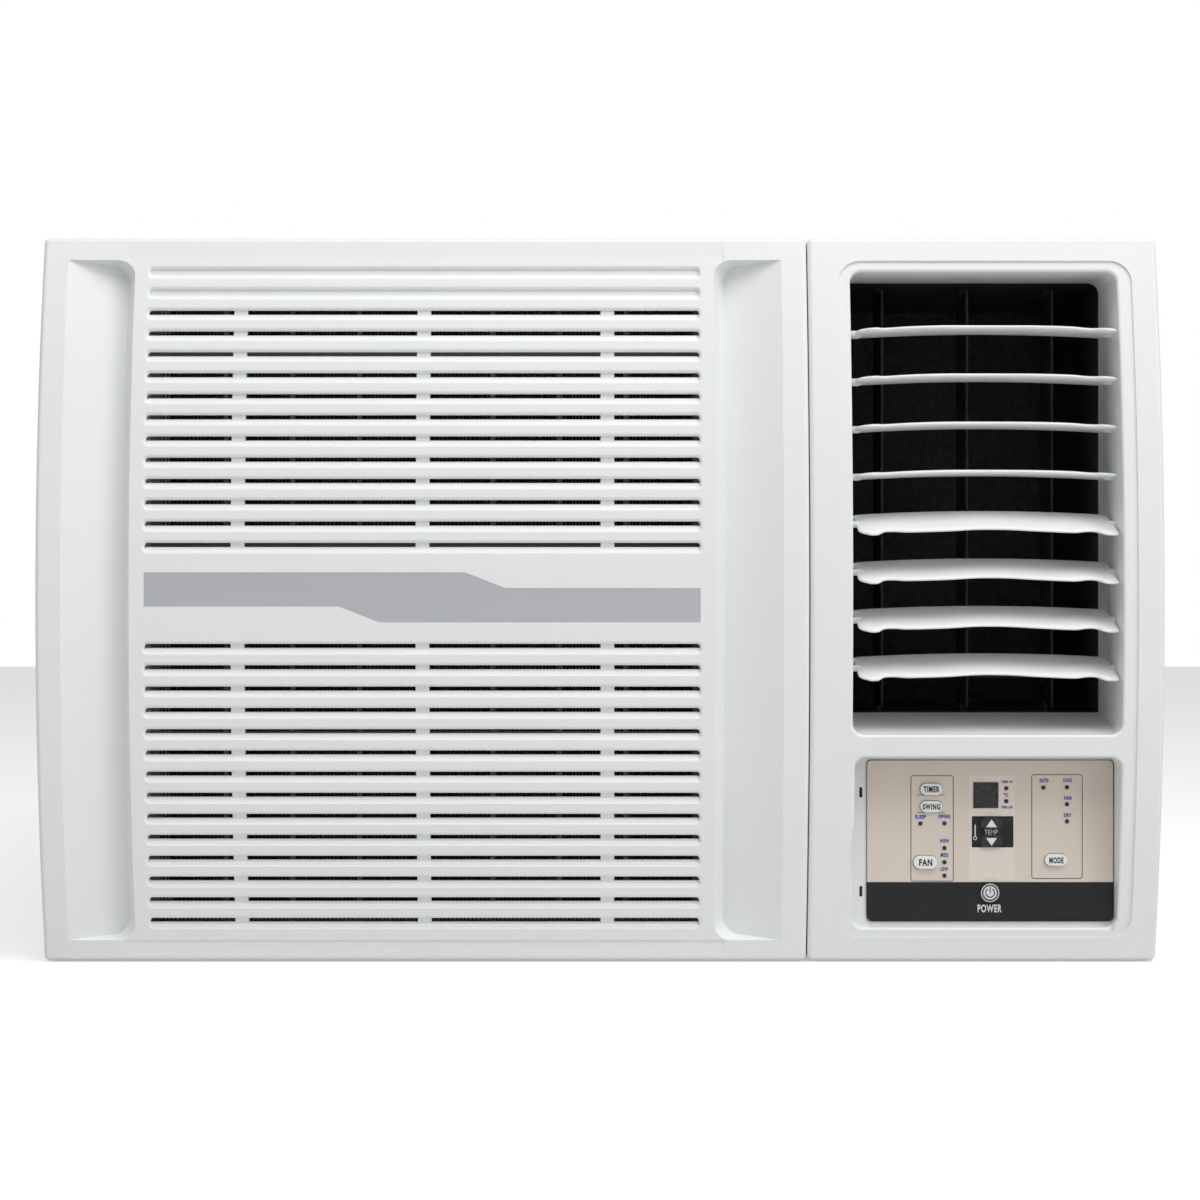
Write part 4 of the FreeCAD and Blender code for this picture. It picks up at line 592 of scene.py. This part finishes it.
def flat_print(name, shape, material):
    """Gives flat ink its thickness towards the surface behind it, faces outward."""
    mesh = bpy.data.meshes.new(name)
    made = bmesh.ops.extrude_face_region(shape, geom=shape.faces[:])
    moved = [v for v in made["geom"] if isinstance(v, bmesh.types.BMVert)]
    bmesh.ops.translate(shape, verts=moved, vec=(0.0, PRINT_LIFT * 0.9, 0.0))
    bmesh.ops.recalc_face_normals(shape, faces=shape.faces)
    shape.to_mesh(mesh)
    shape.free()
    return new_piece(name, mesh, material)


def rounded_ring(shape, centre, size, corner, grow, lift, steps):
    """Corner points of a rounded rectangle, all round, moved out by grow."""
    half_x = size[0] / 2 - corner
    half_z = size[1] / 2 - corner
    ring = []
    for quarter, (sx, sz) in enumerate(((1, 1), (-1, 1), (-1, -1), (1, -1))):
        for i in range(steps + 1):
            turn = math.pi / 2 * (quarter + i / steps)
            x = centre[0] + sx * half_x + (corner + grow) * math.cos(turn)
            z = centre[1] + sz * half_z + (corner + grow) * math.sin(turn)
            ring.append(shape.verts.new((x, lift, z)))
    return ring


def outline(name, centre, size, corner, width, lift, material, steps=6):
    """A rounded frame of flat ink round a centre, size wide and high, for print and for painted shade lines."""
    shape = bmesh.new()
    inner, outer = [rounded_ring(shape, centre, size, corner, grow, lift, steps)
                    for grow in (-width / 2, width / 2)]
    for i in range(len(inner)):
        j = (i + 1) % len(inner)
        shape.faces.new((inner[i], outer[i], outer[j], inner[j]))
    return flat_print(name, shape, material)


def patch(name, centre, size, corner, lift, material, steps=6):
    """A filled shape of flat ink with rounded corners, for print and for painted shade patches."""
    shape = bmesh.new()
    shape.faces.new(rounded_ring(shape, centre, size, corner, 0.0, lift, steps))
    return flat_print(name, shape, material)


def word(name, text, centre, size, lift, material, weight=0.012):
    """Plain capitals, centred and fitted to a width and a height."""
    curve = bpy.data.curves.new(name, "FONT")
    curve.body = text
    curve.offset = weight
    curve.space_character = 1.0 + weight * 4.0  # heavier letters stand further apart
    curve.resolution_u = 3
    holder = in_scene(name + "_curve", curve)
    mesh = plain_mesh(holder)
    bpy.data.objects.remove(holder)
    low = Vector(min(v.co[i] for v in mesh.vertices) for i in range(3))
    high = Vector(max(v.co[i] for v in mesh.vertices) for i in range(3))
    fit = Matrix.Diagonal((size[0] / (high.x - low.x), size[1] / (high.y - low.y), 1.0, 1.0))
    turn = Matrix.Rotation(math.radians(90), 4, "X")
    place = Matrix.Translation((centre[0], lift, centre[1]))
    mesh.transform(place @ turn @ fit @ Matrix.Translation((low + high) / -2))
    shape = bmesh.new()
    shape.from_mesh(mesh)
    bmesh.ops.remove_doubles(shape, verts=shape.verts, dist=0.000001)
    return flat_print(name, shape, material)


# Places read from the frame

record = frame["record"]
slot_of = {part["node"]: part["material_slot"] for part in record["subparts"]}
body_of = {node: body for body, nodes in record["behaviour"]["bodies"].items() for node in nodes}
joints = {joint["child"]: joint for joint in frame["joints"]}
label_low, label_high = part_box("control_label")
print_face = label_low.y - PRINT_LIFT
band_top = label_low.z + LABEL_BAND

FINISHES = {
    "white_plastic": white_plastic(), "badge_silver": badge_silver(),
    "cabinet_paint": cabinet_paint(), "galvanised": galvanised(), "black_paint": black_paint(),
    "black_plastic": black_plastic(), "foam_black": duct_foam(), "fin_aluminium": fin_aluminium(),
    "copper": copper(), "steel": ground_steel(), "zinc_screw": zinc_plate(), "rubber": rubber(),
    "filter_plastic": filter_plastic(), "filter_weave": filter_weave(),
    "label_print": label_film(band_top),
    "button_white": button_plastic("white_key_plastic", (0.80, 0.81, 0.81, 1.0),
                                   (0.88, 0.885, 0.89, 1.0)),
    "button_black": button_plastic("black_key_plastic", (0.010, 0.010, 0.011, 1.0),
                                   (0.022, 0.022, 0.023, 1.0)),
    "display_glass": display_glass(), "lamp_plastic": lamp_lens(),
    "board_green": board_lacquer(), "clear_plastic": clear_plastic(),
}
# Black ink serves the print and also the painted shade on the label: its edge line and the latch slot patches.
BLACK_INK_AND_PAINTED_SHADE = panel_print("black_ink", (0.012, 0.012, 0.013, 1.0), (0.03, 0.03, 0.031, 1.0))
BLUE_INK = panel_print("blue_ink", (0.02, 0.055, 0.36, 1.0), (0.035, 0.085, 0.46, 1.0))
WHITE_INK = panel_print("white_ink", (0.78, 0.78, 0.78, 1.0), (0.86, 0.86, 0.86, 1.0))
PALE_INK = panel_print("pale_panel_ink", (0.76, 0.69, 0.61, 1.0), (0.81, 0.735, 0.655, 1.0))
GREY_INK = panel_print("grey_line_ink", (0.06, 0.06, 0.065, 1.0), (0.10, 0.10, 0.105, 1.0))
SEGMENT_INK = panel_print("dull_segment_ink", (0.040, 0.040, 0.028, 1.0),
                          (0.055, 0.055, 0.040, 1.0))

for node, piece in frame["nodes"].items():
    for holder in piece.material_slots:
        holder.material = FINISHES[slot_of[node]]


# Louvre blades

def blade_tree():
    """A crowned blade with a waved front edge, thin rims, two pins and a crank pin."""
    t = Tree("louvre_blade", length=float, front=float, back=float, thick=float, crown=float,
             wave=float, tilt=float, place=Vector, shift=float, pin=float, pin_length=float,
             crank=float)
    size = t.vector(t["length"], 2.0, 2.0)
    counts = {"Size": size, "Vertices X": 121, "Vertices Y": 23, "Vertices Z": 3}
    block = t.add("GeometryNodeMeshCube", {}, counts)
    x = t.position(0)
    across = t.position(1)
    up = t.position(2)
    share = x / t["length"]
    edge = t.add("ShaderNodeFloatCurve", {}, {"Value": share + 0.5})
    curve = edge.socket.node.mapping.curves[0]
    for at, height in BLADE_EDGE[1:-1]:
        curve.points.new(at, height)
    curve.points[0].location = BLADE_EDGE[0]
    curve.points[-1].location = BLADE_EDGE[-1]
    edge.socket.node.mapping.update()
    eased = t.math_of("SINE", across * (math.pi / 2))
    forward = t["front"] + edge * t["wave"]
    is_front = across < 0.0
    reach = forward * is_front + t["back"] * (1.0 - is_front)
    y = eased * reach
    rim = t.math_of("MAXIMUM", (t.math_of("ABSOLUTE", y) - reach) / (t["thick"] * 1.6) + 1.0, 0.0)
    swell = t.math_of("SQRT", t.math_of("MAXIMUM", 1.0 - rim * rim, 0.0))
    ends = t.math_of("POWER", t.math_of("ABSOLUTE", share * 2.0), BLADE_END_POWER)
    half = t["thick"] * 0.5 * (swell * 0.92 + 0.08) * (1.0 - ends * 0.45)
    bow = t["crown"] * (1.0 - share * share * 4.0)
    z = up * half + bow
    inputs = {"Geometry": block, "Position": t.vector(x, y, z)}
    blade = t.add("GeometryNodeSetPosition", {}, inputs)
    sides = [t.pin_along_x(t["pin"], t["pin_length"], t["length"] * 0.5 * side, 0.0)
             for side in (-1.0, 1.0)]
    crank = t.pin_along_x(t["pin"] * 0.8, t["pin_length"], t["length"] * -0.5, t["crank"])
    whole = t.joined(blade, crank, *sides)
    turn = t.vector(t["tilt"], 0.0, 0.0)
    place = t.add("ShaderNodeVectorMath", {"operation": "ADD"},
                  {0: t["place"], 1: t.vector(t["shift"], 0.0, 0.0)})
    settings = {"Geometry": whole, "Rotation": turn, "Translation": place}
    return t.end(t.add("GeometryNodeTransform", {}, settings))


def louvre_blades():
    tree = blade_tree()
    for bank, tilt in (("upper", 0.0), ("lower", LOWER_TILT)):
        for i in range(BLADES_PER_BANK):
            body = f"{bank}_louvre_{i + 1}"
            low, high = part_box(body)
            ends = (low.x + BLADE_LEFT_ROOM, high.x - BLADE_RIGHT_ROOM)
            place = joints[body]["pos_m"]
            blade = from_tree(body + "_blade", tree, length=ends[1] - ends[0],
                              front=BLADE_FRONT, back=BLADE_BACK, thick=BLADE_THICK,
                              crown=BLADE_CROWN, wave=BLADE_WAVE, tilt=math.radians(tilt),
                              place=tuple(place), shift=(ends[0] + ends[1]) / 2 - place[0],
                              pin=BLADE_PIN, pin_length=BLADE_PIN_LENGTH, crank=BLADE_CRANK,
                              material=FINISHES["white_plastic"])
            smoothed(blade.data, 50.0)
            settle(blade, body, "white_plastic", body)


# Coils and filter

def fin_tree():
    """Upright fins side by side, each folded in a shallow wave from front to back."""
    t = Tree("coil_fins", count=int, size=Vector, start=Vector, step=Vector, ripple=float)
    cube = {"Size": t["size"], "Vertices X": 2, "Vertices Y": 9, "Vertices Z": 2}
    plate = t.add("GeometryNodeMeshCube", {}, cube)
    wave = t.math_of("SINE", t.position(1) * FIN_WAVES)
    moved = {"Geometry": plate, "Offset": t.vector(wave * t["ripple"], 0.0, 0.0)}
    fin = t.add("GeometryNodeSetPosition", {}, moved)
    return t.end(t.row(fin, t["count"], t["start"], t["step"]))


def coil_fins():
    tree = fin_tree()
    for node, pitch in (("evaporator_fins", EVAPORATOR_FIN_PITCH),
                        ("condenser_fins", CONDENSER_FIN_PITCH)):
        low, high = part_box(node)
        count = int((high.x - low.x) / pitch)
        middle = (low + high) / 2
        start = (middle.x - pitch * (count - 1) / 2, middle.y, middle.z)
        size = (FIN_THICK, high.y - low.y - 0.0004, high.z - low.z)
        fins = from_tree(node + "_stack", tree, count=count, size=size, start=start,
                         step=(pitch, 0.0, 0.0), ripple=FIN_RIPPLE,
                         material=FINISHES["fin_aluminium"])
        settle(fins, body_of[node], "fin_aluminium", node)


def weave_tree():
    """Crossing threads, the upright ones behind the level ones."""
    t = Tree("filter_weave", across=int, along=int, thread=Vector, pole=Vector, corner=Vector,
             step_x=Vector, step_z=Vector, centre=Vector)
    level = t.add("GeometryNodeMeshCube", {}, {"Size": t["thread"]})
    upright = t.add("GeometryNodeMeshCube", {}, {"Size": t["pole"]})
    rows = t.row(level, t["along"], t["centre"], t["step_z"])
    columns = t.row(upright, t["across"], t["corner"], t["step_x"])
    return t.end(t.joined(rows, columns))


def filter_cloth():
    low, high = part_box("filter_mesh")
    middle = (low + high) / 2
    across = int((high.x - low.x) / WEAVE_PITCH)
    along = int((high.z - low.z) / WEAVE_PITCH)
    first_x = middle.x - WEAVE_PITCH * (across - 1) / 2
    first_z = middle.z - WEAVE_PITCH * (along - 1) / 2
    cloth = from_tree("filter_cloth", weave_tree(), across=across, along=along,
                      thread=(high.x - low.x, WEAVE_WIRE, WEAVE_WIRE),
                      pole=(WEAVE_WIRE, WEAVE_WIRE, high.z - low.z),
                      corner=(first_x, middle.y + WEAVE_WIRE, middle.z),
                      centre=(middle.x, middle.y, first_z),
                      step_x=(WEAVE_PITCH, 0.0, 0.0), step_z=(0.0, 0.0, WEAVE_PITCH),
                      material=FINISHES["filter_weave"])
    settle(cloth, body_of["filter_mesh"], "filter_weave", "filter_mesh")


# Case screws

def screw_tree():
    """Domed cross-head screws along a line, heads towards one side."""
    t = Tree("case_screws", count=int, start=Vector, step=Vector, turn=Vector, radius=float,
             height=float)
    head = {"Vertices": 28, "Side Segments": 1, "Fill Segments": 5, "Radius": t["radius"],
            "Depth": t["height"]}
    disc = t.add("GeometryNodeMeshCylinder", {}, head)
    x = t.position(0)
    y = t.position(1)
    share = (x * x + y * y) / (t["radius"] * t["radius"])
    is_top = 0.0 < t.position(2)
    sink = share * t["height"] * -0.55 * is_top
    domed = {"Geometry": disc, "Offset": t.vector(0.0, 0.0, sink)}
    dome = t.add("GeometryNodeSetPosition", {}, domed)
    long = t["radius"] * 1.15
    thin = t["radius"] * 0.24
    bars = []
    for size in (t.vector(long, thin, t["height"]), t.vector(thin, long, t["height"])):
        bar = t.add("GeometryNodeMeshCube", {}, {"Size": size})
        up = {"Geometry": bar, "Translation": t.vector(0.0, 0.0, t["height"] * 0.55)}
        bars.append(t.add("GeometryNodeTransform", {}, up))
    cut = {0: dome, 1: bars}
    head = t.add("GeometryNodeMeshBoolean", {"operation": "DIFFERENCE"}, cut)
    turned = t.add("GeometryNodeTransform", {}, {"Geometry": head, "Rotation": t["turn"]})
    return t.end(t.row(turned, t["count"], t["start"], t["step"]))


def case_screws():
    """Rows of screws down the sleeve's sides and along the rear of its top."""
    low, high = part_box("cabinet_shell")
    stand = CASE_SCREW_HEIGHT * CASE_SCREW_STAND
    rear = high.y - REAR_SCREW_INSET
    rows = []
    for side, x, out in (("left", low.x, -1), ("right", high.x, 1)):
        for place, y in (("front", low.y + FRONT_SCREW_INSET), ("rear", rear)):
            count, first, step = SIDE_SCREWS
            start = (x + out * stand, y, low.z + first)
            turn = (0.0, out * math.pi / 2, 0.0)
            rows.append((f"{side}_{place}_screws", count, start, (0.0, 0.0, step), turn))
    count, first, step = TOP_SCREWS
    start = (low.x + first, rear, high.z + stand)
    rows.append(("top_rear_screws", count, start, (step, 0.0, 0.0), (0.0, 0.0, 0.0)))
    tree = screw_tree()
    for name, count, start, step, turn in rows:
        row = from_tree(name, tree, count=count, start=start, step=step, turn=turn,
                        radius=CASE_SCREW_RADIUS, height=CASE_SCREW_HEIGHT,
                        material=FINISHES["zinc_screw"])
        smoothed(row.data, 40.0)
        settle(row, "cabinet", "zinc_screw")


# Print and painted shade on the control label, placed in millimetres from its lower left corner

def on_label(x, z):
    return (label_low.x + x * 0.001, label_low.z + z * 0.001)


def size_of(width, height):
    return (width * 0.001, height * 0.001)


def inked(piece, body="chassis", slot="label_print"):
    return settle(piece, body, slot)


def label_panels():
    """The pale middle, the black field for the temperature keys and two line frames."""
    inked(patch("pale_middle_panel", on_label(74.7, 56.0), size_of(27.2, 62.0), 0.0006,
                print_face, PALE_INK))
    inked(patch("temperature_field", on_label(75.1, 53.4), size_of(24.8, 18.6), 0.0005,
                print_face - PRINT_LIFT, BLACK_INK_AND_PAINTED_SHADE))
    for name, x, z, width, height in (("left_key_frame", 39.1, 55.4, 25.2, 62.7),
                                      ("mode_key_frame", 113.4, 56.5, 30.0, 61.8)):
        inked(outline(name, on_label(x, z), size_of(width, height), 0.0014, 0.00045,
                      print_face, GREY_INK))
    label = (label_high.x - label_low.x, label_high.z - label_low.z)
    middle = ((label_low.x + label_high.x) / 2, (label_low.z + label_high.z) / 2)
    # A thin black line round the label's edge: painted shade where the pocket's top lip shades the label and the
    # clear cover's edge shows dark.
    inked(outline("label_edge_painted_shade", middle, (label[0] - 0.0005, label[1] - 0.0005), 0.0022, 0.0004,
                  print_face, BLACK_INK_AND_PAINTED_SHADE))
    for name, z in (("timer_underline", 75.3), ("swing_underline", 64.8)):
        ends = [on_label(30.5, z), on_label(46.4, z)]
        inked(ribbon(name, ends, 0.00035, print_face, GREY_INK))


def lamp_names():
    for name, text, x, z, width, height in LAMP_WORDS:
        lift = print_face - PRINT_LIFT
        inked(word(name, text, on_label(x, z), size_of(width, height), lift, BLUE_INK,
                   LAMP_WORD_WEIGHT))


def key_lettering():
    """Lettering on the white keys, arrows on the temperature keys and the power sign."""
    for name, text, x, z, width, height in KEY_WORDS:
        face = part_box(name)[0].y - PRINT_LIFT
        ink = word(name + "_lettering", text, on_label(x, z), size_of(width, height), face,
                   BLACK_INK_AND_PAINTED_SHADE, KEY_WORD_WEIGHT)
        inked(ink, name, "button_white")
    for name, tip, foot in (("temp_up_button", 60.9, 56.3), ("temp_down_button", 45.3, 49.9)):
        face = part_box(name)[0].y - PRINT_LIFT
        shape = bmesh.new()
        places = (on_label(70.9, foot), on_label(77.4, foot), on_label(74.15, tip))
        corners = [shape.verts.new((x, face, z)) for x, z in places]
        shape.faces.new(corners)
        inked(flat_print(name + "_arrow", shape, WHITE_INK), name, "button_black")
    lift = print_face - PRINT_LIFT * 2
    inked(word("temperature_name", "TEMP", on_label(74.2, 53.1), size_of(7.8, 3.2), lift,
               WHITE_INK))
    inked(word("power_name", "POWER", on_label(73.3, 7.8), size_of(14.4, 4.8), lift, WHITE_INK,
               0.03))
    inked(ribbon("thermometer_stem", [on_label(64.7, 51.2), on_label(64.7, 57.3)], 0.0006, lift,
                 WHITE_INK))
    inked(outline("thermometer_bulb", on_label(64.7, 49.6), size_of(1.9, 1.9), 0.00095, 0.0004,
                  lift, WHITE_INK))


def power_sign():
    low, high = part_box("power_button")
    middle = ((low.x + high.x) / 2, (low.z + high.z) / 2)
    face = low.y - PRINT_LIFT
    body = "power_button"
    for name, radius, width, material in (("power_ring", 0.0052, 0.00045, WHITE_INK),
                                          ("power_edge", 0.00405, 0.0003, GREY_INK)):
        ring = outline(name, middle, (radius * 2, radius * 2), radius, width,
                       face - PRINT_LIFT * (name == "power_edge"), material, 12)
        inked(ring, body, "button_black")
    inked(patch("power_disc", middle, (0.0086, 0.0086), 0.0043, face, WHITE_INK, 12), body,
          "button_black")
    turns = [math.radians(125 + i * 290 / 24) for i in range(25)]
    arc = [(middle[0] + 0.0026 * math.cos(a), middle[1] + 0.0026 * math.sin(a)) for a in turns]
    inked(ribbon("power_arc", arc, 0.0006, face - PRINT_LIFT, BLACK_INK_AND_PAINTED_SHADE), body, "button_black")
    bar = [(middle[0], middle[1] + 0.0002), (middle[0], middle[1] + 0.0032)]
    inked(ribbon("power_bar", bar, 0.0006, face - PRINT_LIFT, BLACK_INK_AND_PAINTED_SHADE), body, "button_black")


def display_digits():
    """Two unlit seven-segment digits, faint behind the tinted window."""
    low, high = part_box("display_window")
    middle_z = (low.z + high.z) / 2
    half_x = 0.0021
    half_z = 0.0021
    gap = 0.0003
    stroke = 0.0006
    for name, share in (("left_digit", 0.29), ("right_digit", 0.71)):
        x = low.x + (high.x - low.x) * share
        for k in range(3):
            z = middle_z + (k - 1) * half_z * 2
            bar = [(x - half_x + gap, z), (x + half_x - gap, z)]
            inked(ribbon(f"{name}_bar_{k + 1}", bar, stroke, low.y - PRINT_LIFT, SEGMENT_INK),
                  "chassis", "display_glass")
        for k, (side, lift) in enumerate(((-1, -1), (1, -1), (-1, 1), (1, 1))):
            edge = x + side * half_x
            post = [(edge, middle_z + gap * lift), (edge, middle_z + (half_z * 2 - gap) * lift)]
            inked(ribbon(f"{name}_post_{k + 1}", post, stroke, low.y - PRINT_LIFT, SEGMENT_INK),
                  "chassis", "display_glass")


def latch_slot_painted_shade():
    """Two small black patches on the pocket's floor beside the label: painted shade standing for the slots of the
    cover's hooks.
    """
    for name, z in (("upper_latch_slot_painted_shade", 76.8), ("lower_latch_slot_painted_shade", 17.9)):
        inked(patch(name, on_label(-3.2, z), size_of(1.8, 6.2), 0.0006,
                    label_high.y - PRINT_LIFT, BLACK_INK_AND_PAINTED_SHADE), "chassis", "white_plastic")


# Stage

def studio_floor():
    shape = bmesh.new()
    bmesh.ops.create_grid(shape, x_segments=1, y_segments=1, size=FLOOR_REACH)
    mesh = bpy.data.meshes.new("studio_floor")
    shape.to_mesh(mesh)
    shape.free()
    new_piece("studio_floor", mesh, pale_floor())


def studio_lights(target):
    """Soft rectangles that all look at the target."""
    for name, place, size, power in STUDIO_LIGHTS:
        lamp = bpy.data.lights.new(name, "AREA")
        lamp.shape = "RECTANGLE"
        lamp.size = size[0]
        lamp.size_y = size[1]
        lamp.energy = power
        holder = in_scene(name, lamp)
        holder.location = place
        holder.rotation_euler = (target - Vector(place)).to_track_quat("-Z", "Y").to_euler()


def studio_air():
    """White all round, dimmer as a light than it looks to the camera."""
    world = bpy.data.worlds.new("studio_air")
    world.use_nodes = True
    tree = world.node_tree
    output = tree.nodes["World Output"]
    blend = tree.nodes.new("ShaderNodeMixShader")
    sight = tree.nodes.new("ShaderNodeLightPath")
    tree.links.new(sight.outputs["Is Camera Ray"], blend.inputs["Fac"])
    for i, strength in enumerate((AIR_STRENGTH, 1.0)):
        air = tree.nodes.new("ShaderNodeBackground")
        air.inputs["Color"].default_value = (1.0, 1.0, 1.0, 1.0)
        air.inputs["Strength"].default_value = strength
        tree.links.new(air.outputs["Background"], blend.inputs[i + 1])
    tree.links.new(blend.outputs["Shader"], output.inputs["Surface"])
    bpy.context.scene.world = world
    bpy.context.scene.view_settings.view_transform = "Standard"


def front_camera(target):
    """A camera level with the middle of the front."""
    lens = bpy.data.cameras.new("front_camera")
    lens.lens = CAMERA_LENS
    lens.sensor_width = CAMERA_SENSOR
    camera = in_scene("front_camera", lens)
    camera.location = (target.x, target.y - CAMERA_DISTANCE, target.z)
    camera.rotation_euler = (math.pi / 2, 0.0, 0.0)
    bpy.context.scene.camera = camera


louvre_blades()
coil_fins()
filter_cloth()
case_screws()
label_panels()
lamp_names()
key_lettering()
power_sign()
display_digits()
latch_slot_painted_shade()

front_middle = Vector((0.0, cad_low.y, (cad_low.z + cad_high.z) / 2))
studio_floor()
studio_lights(front_middle)
studio_air()
front_camera(front_middle)
